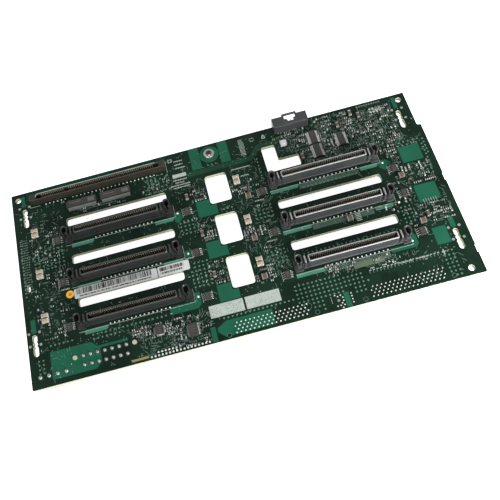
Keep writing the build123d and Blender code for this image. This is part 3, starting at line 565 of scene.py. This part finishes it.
# %% [markdown]
# A plated hole, a round pad and a solder joint are all the same short cone: flat for a pad, and
# steeper where solder climbs a pin. On the rear side the cone is turned over.
# %% Build the stud tree
tree, enter = new_tree("round_studs", [
    ("Sides", "Int", 10), ("Foot Radius", "Float", 0.0005), ("Head Radius", "Float", 0.0005),
    ("Height", "Float", 0.00005), ("Turn", "Vector", (0.0, 0.0, 0.0))])
cone = add(tree, "GeometryNodeMeshCone", {
    "Vertices": (enter, "Sides"), "Radius Bottom": (enter, "Foot Radius"),
    "Radius Top": (enter, "Head Radius"), "Depth": (enter, "Height")})
place = add(tree, "GeometryNodeInstanceOnPoints", {
    "Points": (enter, "Geometry"), "Instance": (cone, "Mesh"), "Rotation": (enter, "Turn")})
round_studs = close_tree(tree, enter, (place, "Instances"))


def studs(name, places, foot, head, height, material, sides=10, rear=False, base=0.0):
    """Short cones on board places, in millimetres; on the rear side they point down."""
    points = [on_board(x, y, base) for x, y in places]
    if rear:
        for point in points:
            point.z = REAR
    grow(name, round_studs, points, {
        "Sides": sides, "Foot Radius": foot * MM, "Head Radius": head * MM, "Height": height * MM,
        "Turn": (math.pi if rear else 0.0, 0.0, 0.0)}, material)

# %% [markdown]
# ## Places that stay free
# Nothing sits in an air vent, under a receptacle or on a fixing slot. The record names the
# openings and mounts, and the solids give their own boxes, so one test keeps every place clear.
# %% Test for free places
VENT_EDGE = 0.7
KEEP_OFF = {"bore": (2.4, 2.4), "other": (2.2, 7.2)}
taken = [row[:4] for node in nodes for row in footprints(node) if row[4] > 0.05]
for hole in frame["record"]["physics"]["openings"]:
    (x0, y0), (x1, y1) = map(to_board, hole["box_m"])
    taken.append((x0 - VENT_EDGE, y0 - VENT_EDGE, x1 + VENT_EDGE, y1 + VENT_EDGE))
for mount in frame["record"]["mounts"]:
    if mount["kind"] in KEEP_OFF:
        x, y = to_board(mount["pos_m"])
        wide, tall = KEEP_OFF[mount["kind"]]
        taken.append((x - wide, y - tall, x + wide, y + tall))
for outline in areas[3:9] + areas[10:16]:
    across, along = [p[0] for p in outline], [p[1] for p in outline]
    taken.append((min(across), min(along), max(across), max(along)))
BOARD_X, BOARD_Y = to_board(board_high)
BOARD_RIM = 0.5
STEP_WIDTH, STEP_LENGTH = 2.6, 27
QUIET = (157, 0, 216, 20.6)


def free(x, y, reach=0.6):
    """True if nothing lies within reach of this place and it is on the board."""
    rim = reach + BOARD_RIM
    if not (rim < x < BOARD_X - rim and rim < y < BOARD_Y - rim):
        return False
    if x > BOARD_X - STEP_WIDTH - reach and y > BOARD_Y - STEP_LENGTH:
        return False
    return not any(x0 - reach < x < x1 + reach and y0 - reach < y < y1 + reach for x0, y0, x1, y1 in taken)


def lattice(x0, x1, y0, y1, step_x=2.54, step_y=2.54, stagger=0.0):
    """Places on a grid from one corner, row by row; every other row can be moved along."""
    places = []
    for j in range(int((y1 - y0) / step_y + 1e-6) + 1):
        for i in range(int((x1 - x0) / step_x + 1e-6) + 1):
            places.append((x0 + i * step_x + (j % 2) * stagger, y0 + j * step_y))
    return places


def quiet(x, y):
    """True in the plain area before the right receptacles, which has holes but no small parts."""
    return QUIET[0] < x < QUIET[2] and QUIET[1] < y < QUIET[3]


print("places taken:", len(taken))

# %% [markdown]
# ## Vias
# Vias join the copper layers. Under the lacquer each one is a pale green dot in a tidy grid.
# %% Set the vias
via_zones = [
    (157.6, 183.1, 10.3, 20.5), (185.6, 195.8, 13.1, 18.2), (190.4, 195.5, 8.0, 10.6), (165.3, 170.4, 5.4, 8.0),
    (170.4, 170.4, 2.9, 2.9), (198.6, 198.6, 13.0, 13.0), (114, 154.7, 13.0, 13.0), (102.3, 112.5, 72, 80),
    (102.3, 112.5, 36, 51.3),
    (148, 158.2, 69.2, 77), (148, 158.2, 38, 45.8), (158.4, 158.4, 98, 110.8), (130.2, 135.4, 81.8, 81.8),
    (127.8, 133, 115.6, 115.6), (10.2, 28, 73, 86), (13.5, 27, 23.8, 23.8), (38.8, 82.2, 23.8, 23.8),
    (38.8, 54.2, 21.2, 21.2), (5.6, 8.4, 8.6, 16.4), (231.4, 236.6, 41.6, 52), (244.2, 250, 2.6, 19.4),
    (250.2, 258, 69.8, 76), (181, 214.2, 82.2, 82.2), (166, 226, 38.9, 38.9), (88, 93.4, 106, 116.2),
    (2.6, 2.6, 58, 98), (260, 260, 84, 94.2), (104.8, 112.6, 80.6, 80.6), (85.5, 99, 106.2, 119, 3.1, 3.0, 1.5),
    (244, 257, 92.8, 96.6, 2.9, 2.3, 1.4), (258.4, 258.4, 78, 92),
]
vias = [p for zone in via_zones for p in lattice(*zone) if free(*p, 0.4)]
studs("vias", vias, 0.58, 0.5, 0.04, "masked_via", sides=8)
loose = random.Random(7)
strays = [(loose.uniform(3, BOARD_X - 4), loose.uniform(3, BOARD_Y - 3)) for _ in range(900)]
strays = [(round(x / 0.635) * 0.635, round(y / 0.635) * 0.635) for x, y in strays]
strays = [p for p in dict.fromkeys(strays) if free(*p, 0.5) and not quiet(*p)]
studs("small_vias", strays, 0.33, 0.28, 0.035, "masked_via", sides=6)

# %% [markdown]
# Between the small parts run short tracks in every direction, paler than the board. Each zone gives its
# share of tracks for one square millimetre.
# %% Draw the short tracks
pull = random.Random(23)
tracks = []
lean = {}
track_zones = (
    (222, 250, 97, 126, 0.6), (172, 198, 97, 125, 0.45), (198, 222, 97, 129, 0.5), (9, 28, 28, 108, 0.16),
    (60, 108, 2.6, 20, 0.4), (236, 260, 36, 98, 0.2), (177, 232, 20.5, 28, 0.4), (136, 160, 28, 108, 0.2),
    (112, 124, 34, 108, 0.2), (86, 112, 104, 119, 0.16), (2, 256, 2, 129, 0.04))
for x0, x1, y0, y1, share in track_zones:
    for _ in range(int((x1 - x0) * (y1 - y0) * share)):
        x, y = pull.uniform(x0, x1), pull.uniform(y0, y1)
        length = pull.choice((0.7, 1.3, 2.0, 3.0))
        main = lean.setdefault((x // 5, y // 5), pull.choice((0, 90, 90, 45, 135)))
        turn = main if pull.random() < 0.8 else pull.choice((0, 90))
        if free(x, y, 0.5 + length / 3) and not quiet(x, y):
            tracks.append((x, y, length, turn))
print("short tracks:", len(tracks))

# %% [markdown]
# ## Bare pads and solder
# Round tinned pads stand beside the fixing slots, and rows of solder joints before each
# receptacle and over the headers behind the board. Solder climbs a pin in a small cone.
# %% Solder the pins
slot_pads = []
for mount in frame["record"]["mounts"]:
    if mount["kind"] == "other":
        x, y = to_board(mount["pos_m"])
        slot_pads += [(x + dx, y + dy) for dx in (-3.2, 3.2) for dy in (8.2, 0.4)]
studs("slot_pads", slot_pads, 0.85, 0.8, PAD, "tinned_metal", sides=20)

TAIL_PITCH = 2.54
joints = [(column + 2.2 + (i - 7) * TAIL_PITCH, row - 4.1) for column, row in bays for i in range(15)]
card_x = (card_x0 + card_x1) / 2
card_tails = [card_x + (i - 14) * TAIL_PITCH for i in range(29) if i != 6]
joints += [(x, card_y0 - 1.2) for x in card_tails]
studs("row_joints", joints, 0.5, 0.3, 0.35, "bright_solder", sides=8)

RIBBON_ROW = 1.93
for side, foot in (("left", 0.47), ("right", 0.42)):
    cx, cy = centres(f"ribbon_header_{side}")[0]
    ribbon_joints = [(cx + TAIL_PITCH / 2 * (r % 2 - 0.5) + (i - 8) * TAIL_PITCH, cy + (r - 1.5) * RIBBON_ROW)
                     for r in range(4) for i in range(17)]
    studs(f"ribbon_joints_{side}", ribbon_joints, foot, 0.25, 0.7, "bright_solder", sides=8)

pins = centres("board_power_pins")
studs("power_joints", pins, 0.8, 0.5, 0.8, "bright_solder", sides=12)
studs("power_joint_lands", pins, 1.35, 1.3, PAD, "joint_dark", sides=14)
disk_pins = centres("disk_power_pins")
studs("disk_joints", disk_pins, 0.95, 0.6, 0.8, "bright_solder", sides=14)
studs("disk_joint_lands", disk_pins, 1.5, 1.45, PAD, "joint_dark", sides=14)

# %% [markdown]
# Board locks and empty header pads lie bare along the lower edge. One bright joint marks the
# right end of each receptacle.
# %% Lay the bare pads
locks = [(114.7, 2.4), (165.8, 2.3), (193.7, 2.4), (244.9, 2.6)]
studs("board_lock_rings", locks, 1.1, 1.05, PAD - 0.01, "laminate", sides=16)
spare = [(186.9, 8.3), (186.9, 6.5), (186.8, 4.6), (186.8, 2.7), (180.8, 8.5), (181.7, 7.0), (181.7, 5.1),
         (180.6, 3.8), (181.6, 2.5), (180.4, 1.1), (179.4, 2.6), (177.6, 2.5), (177.6, 9.1), (179, 8.1)]
studs("spare_pads", spare, 0.42, 0.38, PAD, "bright_solder")
studs("spare_centre_pad", [(179, 5.7)], 0.8, 0.75, PAD, "dull_solder", sides=16)
empty = [(69.5 + 2.1 * i, 1.6) for i in range(17)] + [(73.7 + 2.1 * i, 3.5) for i in range(6)]
studs("empty_header_pads", empty, 0.6, 0.56, PAD, "bright_solder")
bright = [(101.9, 87.3), (102.6, 58.6), (102.6, 30.0), (231.3, 84.6), (231.5, 55.6), (230.2, 29.4)]
studs("ground_joints", bright, 0.75, 0.35, 0.4, "bright_solder")
slabs("gold_strip", [block(58, 68, 1.5, 2.8)], PAD, "gold_plate")

# %% [markdown]
# ## Leads
# A lead leaves its package half way up, bends down and lies flat on its pad. The line of a lead
# is three edges, and the tree sweeps a flat strip along it with closed ends.
# %% Build the strip tree
tree, enter = new_tree("flat_strips", [("Width", "Float", 0.0003), ("Thickness", "Float", 0.0001)])
path = add(tree, "GeometryNodeMeshToCurve", {"Mesh": (enter, "Geometry")})
level = add(tree, "GeometryNodeSetCurveNormal", {"Curve": (path, "Curve")}, mode="Z_UP")
section = add(tree, "GeometryNodeCurvePrimitiveQuadrilateral", {
    "Width": (enter, "Width"), "Height": (enter, "Thickness")})
sweep = add(tree, "GeometryNodeCurveToMesh", {
    "Curve": (level, "Curve"), "Profile Curve": (section, "Curve"), "Fill Caps": True})
flat_strips = close_tree(tree, enter, (sweep, "Mesh"))


def strips(name, paths, width, thickness, material):
    """Flat strips swept along paths of frame points."""
    points, edges = [], []
    for path in paths:
        first = len(points)
        points += path
        edges += [(first + i, first + i + 1) for i in range(len(path) - 1)]
    grow(name, flat_strips, points, {"Width": width * MM, "Thickness": thickness * MM}, material, edges=edges)

# %% [markdown]
# Small outline chips have leads left and right, the long resistor packs have them before and
# behind, and the square logic chip on all four sides.
# %% Bend the leads


def lead_paths(node, sides, pitch, count, reach):
    """The path of each lead of each chip in a node; sides are directions such as (1, 0)."""
    paths = []
    for x0, y0, x1, y1, top in footprints(node):
        cx, cy = (x0 + x1) / 2, (y0 + y1) / 2
        knee, foot = 0.52 * top, 0.1
        profile = [(-0.2, knee), (0.3 * reach, knee), (0.48 * reach, foot), (reach, foot)]
        for sx, sy in sides:
            half = (x1 - x0) / 2 if sx else (y1 - y0) / 2
            for along in [(i - (count - 1) / 2) * pitch for i in range(count)]:
                paths.append([on_board(cx + (sx * (half + out) if sx else along),
                                       cy + (sy * (half + out) if sy else along), height)
                              for out, height in profile])
    return paths


sides_x, sides_y = ((-1, 0), (1, 0)), ((0, -1), (0, 1))
strips("switch_leads", lead_paths("bus_switch_chips", sides_x, 1.27, 4, 1.1), 0.42, 0.15, "tinned_metal")
strips("sensor_leads", lead_paths("sensor_chips", sides_x, 0.65, 14, 1.5), 0.36, 0.12, "bright_solder")
strips("pack_leads", lead_paths("terminator_chips", sides_y, 0.65, 28, 1.5), 0.46, 0.12, "dull_solder")
strips("logic_leads", lead_paths("logic_chip", sides_x + sides_y, 0.5, 9, 0.9), 0.22, 0.1, "tinned_metal")
strips("scan_leads", lead_paths("scan_chip", sides_x, 0.65, 11, 1.0), 0.26, 0.12, "tinned_metal")

# %% [markdown]
# ## Small boxes
# Resistors, end caps, print dashes and label bars are boxes. Each point carries its own size and
# turn, so one tree makes them all.
# %% Build the box tree
tree, enter = new_tree("small_boxes", [])
cube = add(tree, "GeometryNodeMeshCube", {"Size": (1.0, 1.0, 1.0)})
size, turn = (add(tree, "GeometryNodeInputNamedAttribute", {"Name": name}, data_type="FLOAT_VECTOR")
              for name in ("size", "turn"))
place = add(tree, "GeometryNodeInstanceOnPoints", {
    "Points": (enter, "Geometry"), "Instance": (cube, "Mesh"), "Scale": (size, "Attribute"),
    "Rotation": (turn, "Attribute")})
small_boxes = close_tree(tree, enter, (place, "Instances"))


def boxes(name, rows_of_boxes, material, slot=None):
    """Boxes given as (x, y, foot, length, width, height, turn in degrees), in board millimetres."""
    points, sizes, turns = [], [], []
    for x, y, foot, length, width, height, turn in rows_of_boxes:
        points.append(on_board(x, y, foot + height / 2))
        sizes.append((length * MM, width * MM, height * MM))
        turns.append((0.0, 0.0, math.radians(turn)))
    grow(name, small_boxes, points, {}, material, slot, {"size": sizes, "turn": turns})

# %% [markdown]
# Chip resistors and capacitors stand in rows beside the parts that they serve. Each zone has its
# grid, and a fixed seed leaves some places empty and turns some parts, as on the real board.
# %% Place the resistors and small capacitors
part_zones = [
    # x0, x1, y0, y1, step across, step up, share filled
    (222, 249, 98, 126, 2.3, 1.6, 0.52),
    (172, 180.5, 118.6, 124.4, 1.5, 3.1, 0.95), (181, 192, 98.5, 124, 2.2, 1.7, 0.42),
    (200.5, 210, 97.6, 128, 2.1, 1.6, 0.42), (216, 221.5, 99, 128, 2.1, 1.6, 0.4), (9.5, 27, 60, 106, 2.6, 2.2, 0.24),
    (84, 106, 2.6, 20, 2.2, 1.7, 0.45), (62, 91, 12.5, 20.5, 1.8, 1.5, 0.6), (243, 259, 38.5, 50.5, 2.2, 1.6, 0.5),
    (243, 258, 64, 80, 2.3, 1.6, 0.5), (219, 230, 50, 57, 2.0, 1.6, 0.4), (178, 195, 22.5, 27.5, 1.8, 1.6, 0.6),
    (206, 219, 20.6, 26.2, 1.9, 1.6, 0.55),
    (138.5, 148.5, 86, 97, 2.0, 1.6, 0.5), (138.5, 148.5, 57, 68, 2.0, 1.6, 0.5),
    (138.5, 148.5, 28, 39, 2.0, 1.6, 0.5), (113, 122.5, 64, 79, 2.2, 1.7, 0.5), (113, 122.5, 35, 50, 2.2, 1.7, 0.5),
    (113, 122, 92.5, 99.5, 2.0, 1.7, 0.6), (88, 102, 106, 117.5, 2.6, 2.0, 0.35), (20, 84, 106, 117.5, 3.2, 2.2, 0.2),
    (9, 27, 28, 58, 2.8, 2.2, 0.3), (233, 242, 38, 99, 2.6, 1.9, 0.45), (148, 159, 30, 100, 3.0, 2.4, 0.2),
]
draw = random.Random(11)
resistor_bodies, capacitor_bodies, bright_caps, dull_caps = [], [], [], []
clumps = {}
for x0, x1, y0, y1, step_x, step_y, share in part_zones:
    for x, y in lattice(x0, x1, y0, y1, step_x, step_y):
        keep, sort, quarter = draw.random(), draw.random(), draw.random()
        x += draw.uniform(-0.2, 0.2)
        y += draw.uniform(-0.12, 0.12)
        fill, main = clumps.setdefault((x // 6, y // 5), (draw.choice((0.3, 0.9, 1.2, 1.5)), draw.choice((0, 0, 90))))
        if keep > share * fill or not free(x, y, 1.0):
            continue
        turn = main if quarter > 0.15 else 90 - main
        end_caps = bright_caps if draw.random() > 0.47 else dull_caps
        length = 1.0 if turn else 1.5
        width, height = 0.8, 0.45 if sort < 0.6 else 0.65
        target = resistor_bodies if sort < 0.6 else capacitor_bodies
        target.append((x, y, 0.03, length - 0.5, width, height, turn))
        way = math.radians(turn)
        for end in (-1, 1):
            off = end * (length / 2 - 0.125)
            cap_x, cap_y = x + off * math.cos(way), y + off * math.sin(way)
            end_caps.append((cap_x, cap_y, 0.0, 0.27, width + 0.04, height + 0.05, turn))
TRACK_WIDTH, TRACK_HEIGHT = 0.24, 0.03
boxes("short_tracks", [(x, y, 0.0, length, TRACK_WIDTH, TRACK_HEIGHT, turn) for x, y, length, turn in tracks],
      "print_faint", "laminate")
boxes("chip_resistors", resistor_bodies, "resistor_black")
boxes("chip_capacitors", capacitor_bodies, "capacitor_tan")
boxes("chip_end_caps_bright", bright_caps, "bright_solder")
boxes("chip_end_caps_dull", dull_caps, "lead_grey")

# %% [markdown]
# The larger brown capacitors and the white fuse are solids of their own. Their tinned ends are
# thin caps just outside the ceramic, and each lamp gets its round lens and two tinned feet.
# %% Cap the larger parts
CAP_SPAN, CAP_INSET, CAP_GROWTH = 0.5, 0.2, 0.04
caps = []
for node in ("bulk_capacitors", "slim_capacitors", "line_fuse"):
    for x0, y0, x1, y1, top in footprints(node):
        length, width, top = x1 - x0 + 2 * CAP_GROWTH, y1 - y0 + 2 * CAP_GROWTH, top + CAP_GROWTH
        if width > length:
            caps += [((x0 + x1) / 2, y, 0.0, length, CAP_SPAN, top, 0) for y in (y0 + CAP_INSET, y1 - CAP_INSET)]
        else:
            caps += [(x, (y0 + y1) / 2, 0.0, CAP_SPAN, width, top, 0) for x in (x0 + CAP_INSET, x1 - CAP_INSET)]
boxes("ceramic_end_caps", caps, "tinned_metal")
lamps = centres("status_lamps")
studs("lamp_lenses", lamps, 0.82, 0.6, 0.16, "lamp_white", sides=16, base=footprints("status_lamps")[0][4])
lamp_feet = [(x + side * 1.45, y, 0.0, 0.95, 2.4, 1.75, 0) for x, y in lamps for side in (-1, 1)]
boxes("lamp_feet", lamp_feet, "bright_solder")

# %% [markdown]
# ## Print
# White ink outlines each connector. Short plain dashes lie beside the parts, set out by a fixed seed,
# so nothing can be read.
# %% Print outlines


def drawn(name, lines, width, material, height=PRINT - 0.015, thickness=INK):
    """Strips along lines of board places, all at one height."""
    paths = [[on_board(x, y, height) for x, y in line] for line in lines]
    strips(name, paths, width, thickness, material)


receptacle = footprints("drive_receptacle_1")[0]
half_length = (receptacle[2] - receptacle[0]) / 2
outlines = []
for column, row in bays:
    far = column + half_length + 0.5
    outlines.append([(column - half_length, row - 5.0), (far, row - 5.0), (far, row + 3.5)])
outlines += [[(11.5, 118.7), (18, 118.7)], [(101.7, 118), (101.7, 127)], [(175.2, 4.7), (175.2, 8.9)]]
outlines += [[(x0 - 1.4, y0 - 0.7), (x0 - 1.4, y1 + 0.7)] for x0, y0, x1, y1, top in footprints("bus_switch_chips")]
outlines += [[(245.6 + 1.5 * i, 49.6), (245.6 + 1.5 * i, 53.4)] for i in range(6)]
ring = [math.tau * i / 24 for i in range(25)]
circles = [[(x + radius * math.cos(a), y + radius * math.sin(a)) for a in ring]
           for x, y, radius in [(x, y, 1.25) for x, y in locks] + [(161.4, 7.0, 2.2)]]
drawn("print_circles", circles, 0.2, "print_faint")
drawn("print_lines", outlines, 0.22, "print_white")

# %% [markdown]
# The long slot of the card connector has a smooth lead-in that catches the light along its rear side.
# A thin pale strip on the housing is a painted highlight along that line.
# %% Paint the lead-in's highlight
slot_y = (card_y0 + card_y1) / 2
lead_in_highlight = [(card_x + along, slot_y + up) for along, up in (
    (-39.9, -0.4), (-39.8, 0.8), (-39.2, 1.4), (-38.2, 1.9), (38, 1.9))]
# Painted highlight: a pale strip along the lead-in.
drawn("card_slot_painted_highlight", [lead_in_highlight], 0.5, "painted_edge_highlight", card_top + 0.01, 0.04)

# %% [markdown]
# The dashes come in short rows, and a few small plain shapes stand by the upper edge.
# %% Print the dashes


def mark(x, y, length, width, turn=0):
    """One flat mark of ink, as a row for the box tree."""
    return x, y, PRINT - INK, length, width, INK, turn


def dash_rows(places, seed, tall=0.9, gap=0.35):
    """Rows of short dashes, each given as (x0, x1, y) in board millimetres."""
    pick = random.Random(seed)
    marks = []
    for x0, x1, y in places:
        x = x0
        while x < x1:
            length = pick.choice((0.35, 0.6, 0.6, 0.85))
            if x + length > x1:
                break
            if free(x + length / 2, y, 0.3):
                marks.append(mark(x + length / 2, y, length, tall * pick.uniform(0.7, 1.0)))
            x += length + gap
    return marks


text_rows = [(107, 113, 124.5), (107, 112.6, 121.9), (107, 114, 119.3), (104, 113, 110.5), (105, 112, 108.6),
             (102, 115, 106.8), (103.4, 114.4, 105.0), (141, 153, 107.4), (146, 151, 101.4), (202, 205, 19.5),
             (209, 212, 19.5), (215, 218, 19.5), (219, 226, 18.0), (229, 236, 18.0), (24, 30, 56.5),
             (100.5, 108, 55.4), (150, 156, 52.6), (150, 156, 81.4)]
marks = dash_rows(text_rows, 3)
for i in range(13):
    marks += dash_rows([(150, 153.4, 116.2 + i * 0.95)], 20 + i, tall=0.5, gap=0.25)
faint_marks = []
for i in range(22):
    faint_marks += dash_rows([(2.4, 7.6, 60.5 + i * 1.7)], 40 + i, tall=0.7)
faint_marks += dash_rows([(43, 67, 107.6), (49, 64, 109.0)], 60, tall=0.8)
faint_marks += [mark(201 + x * 2.1, 17.2, 0.5, 1.4) for x in range(20)]
marks += [mark(206, 53 + i * 1.1, 3.2, 0.4) for i in range(-2, 3)]
marks += [mark(201.5 + i * 2.1, 18.3, 1.2, 0.45) for i in range(20)]
marks += [mark(236.5 + 2.1 * i, 122.6 + 2.2 * j, 1.4, 1.4) for i in range(4) for j in range(2)]
marks += [mark(176.6 + 1.9 * i, 126.4, 0.5, 3.4, -8) for i in range(6)]
marks += [mark(*row) for row in (
    (108.6, 113.7, 8.8, 2.6), (244.6, 17.8, 0.45, 3.6), (244.6, 18.0, 2.4, 0.45), (187.6, 126.6, 2.2, 3.4, -8),
    (104.6, 126, 3.0, 1.6, 30), (104.6, 126, 3.0, 1.6, -30), (158.8, 125.8, 2.6, 2.0, 20),
    (158.8, 125.8, 2.6, 2.0, -25), (165.8, 125.8, 0.5, 3.0, -20), (167.2, 125.8, 0.5, 3.0, 20),
    (166.5, 124.6, 2.6, 0.5))]
faint_marks += [mark(229.5 + i * 1.6, 129.0, 1.1, 1.2) for i in range(10)]
ink = random.Random(5)
for _ in range(480):
    x, y = ink.uniform(2, BOARD_X - 4), ink.uniform(2, BOARD_Y - 2)
    busy = any(z[0] - 2 < x < z[1] + 2 and z[2] - 2 < y < z[3] + 2 and z[6] > 0.3 for z in part_zones)
    if free(x, y, 0.6) and not quiet(x, y) and (busy or ink.random() > 0.72):
        marks.append(mark(x, y, ink.choice((0.5, 0.8, 1.3)), 0.35, ink.choice((0, 90))))
boxes("print_dashes", marks, "print_white")
boxes("faint_dashes", faint_marks, "print_faint")

# %% [markdown]
# A chip carries a dim mark on its top: a few short lines. On a terminator chip a pale patch near its right end is a
# painted sheen.
# %% Mark the chips
THIN_INK = 0.02
chip_marks_and_sheen = []
for x0, y0, x1, y1, top in footprints("terminator_chips"):
    middle = (y0 + y1) / 2
    # The first box is a painted sheen near the chip's right end, the second a line of ink.
    chip_marks_and_sheen += [(x1 - 3.4, middle, top, 4.2, 2.6, THIN_INK, 0),
                   (x0 + 6.0, middle + 0.5, top, 7.0, 0.5, THIN_INK, 0)]
for x0, y0, x1, y1, top in footprints("scan_chip") + footprints("logic_chip") + footprints("bus_switch_chips"):
    across, length = (x0 + x1) / 2, (x1 - x0) * 0.4
    chip_marks_and_sheen += [(across, y0 + (y1 - y0) * share, top, length, 0.2, THIN_INK, 0) for share in (0.3, 0.5, 0.7)]
boxes("chip_marks_and_sheen", chip_marks_and_sheen, "chip_ink")

# %% [markdown]
# Two printed panels near the lower edge are white slabs. Small faint squares lie on them in rows, and a
# fixed seed leaves half of the places empty.
# %% Print the two panels
PANEL_TOP = PRINT - 0.02
panels = ((106.9, 127.0), (128.2, 148.4))
slabs("printed_panels", [block(x0, x1, 14.6, 22.2) for x0, x1 in panels], PANEL_TOP, "print_white")
speck = random.Random(9)
specks = []
for x0, x1 in panels:
    for x, y in lattice(x0 + 0.7, x1 - 0.6, 15.2, 21.8, 0.95, 0.95):
        if speck.random() < 0.5:
            size = speck.uniform(0.25, 0.5)
            specks.append((x, y, PANEL_TOP, size, size, 0.01, 0))
boxes("panel_specks", specks, "print_faint")

# %% [markdown]
# ## Labels
# A paper label carries two rows of bars. Their widths come from a fixed seed and hold no code. The
# yellow dot has an orange centre.
# %% Mark the labels


def bar_row(node, x_from, x_to, y_from, y_to, seed):
    """Upright bars over a share of a label, from a fixed seed."""
    x0, y0, x1, y1, foot = footprints(node)[0]
    pick = random.Random(seed)
    x = x0 + (x1 - x0) * x_from
    stop = x0 + (x1 - x0) * x_to
    bottom, top = y0 + (y1 - y0) * y_from, y0 + (y1 - y0) * y_to
    marks = []
    while x < stop:
        width = pick.choice((0.26, 0.26, 0.5, 0.7))
        marks.append((x, (bottom + top) / 2, foot, width, top - bottom, THIN_INK, 0))
        x += width / 2 + pick.choice((0.3, 0.42, 0.6))
    return marks


bars = []
for row in (("serial_label", 0.03, 0.93, 0.4, 0.96, 2), ("serial_label", 0.06, 0.93, 0.14, 0.28, 6),
            ("part_label", 0.08, 0.84, 0.5, 0.86, 12), ("part_label", 0.08, 0.8, 0.2, 0.38, 14)):
    bars += bar_row(*row)
boxes("label_bars", bars, "label_ink")
studs("dot_centre", centres("inspection_dot"), 1.0, 1.0, THIN_INK, "dot_orange", sides=24,
      base=footprints("inspection_dot")[0][4])

# %% [markdown]
# ## The rear side
# Behind the board lie the joints of the receptacles and the card slot, which pass through it.
# %% Solder the rear side
rear_joints = [(column - 24.5 + 0.635 * (r % 2) + i * TAIL_PITCH, row - 2.4 + r * 1.6)
               for column, row in bays for r in range(4) for i in range(20)]
rear_joints += [(x, card_y0 + 1.6 + r * 2.4) for r in range(2) for x in card_tails]
studs("rear_joints", rear_joints, 0.55, 0.22, 0.7, "tinned_metal", sides=7, rear=True)

# %% [markdown]
# ## Floor and light
# The board lies on a white sweep under soft, even light: a pale world and three wide lamps. The floor
# glows for the camera and in reflections alone, so it looks white and lights nothing.
# %% Light the board
world = bpy.data.worlds.new("studio")
bpy.context.scene.world = world
world.use_nodes = True
feed(world.node_tree.nodes["Background"], {"Color": (1.0, 1.0, 1.0, 1.0), "Strength": 0.54})


def soft_lamp(name, place, aim, size, power):
    """A square lamp at a place in the frame, turned to its aim."""
    data = bpy.data.lights.new(name, "AREA")
    data.shape, data.size, data.energy = "SQUARE", size, power
    lamp = new_object(name, data)
    lamp.location = place
    lamp.rotation_euler = (Vector(aim) - Vector(place)).to_track_quat("-Z", "Y").to_euler()


soft_lamp("key_lamp", (0.33, -0.78, 0.34), (0.06, 0, 0), 0.3, 6.5)
soft_lamp("fill_lamp", (-0.5, -0.5, 0.7), (0, 0, 0), 0.6, 2.0)
soft_lamp("side_lamp", (0.22, -0.2, 0.06), (0.07, 0, 0.01), 0.15, 0.9)

FLOOR_REACH = 3.0
FLOOR_DROP = 0.0002
corners = [(x * FLOOR_REACH, y * FLOOR_REACH, -FLOOR_DROP) for x, y in ((-1, -1), (1, -1), (1, 1), (-1, 1))]
floor_mesh = bpy.data.meshes.new("floor")
floor_mesh.from_pydata(corners, [], [(0, 1, 2, 3)])
floor = new_object("floor", floor_mesh)
tree, paper = new_material("white_floor")
rays = add(tree, "ShaderNodeLightPath")
seen = calc(tree, "MAXIMUM", (rays, "Is Camera Ray"), (rays, "Is Glossy Ray"))
feed(paper, {
    "Base Color": (0.94, 0.94, 0.94, 1.0), "Roughness": 0.9, "Emission Color": (1.0, 1.0, 1.0, 1.0),
    "Emission Strength": calc(tree, "MULTIPLY", seen, 0.92)})
floor_mesh.materials.append(materials["white_floor"])

# %% [markdown]
# ## Finish
# %% Finish
bpy.context.scene.view_settings.view_transform = "Standard"
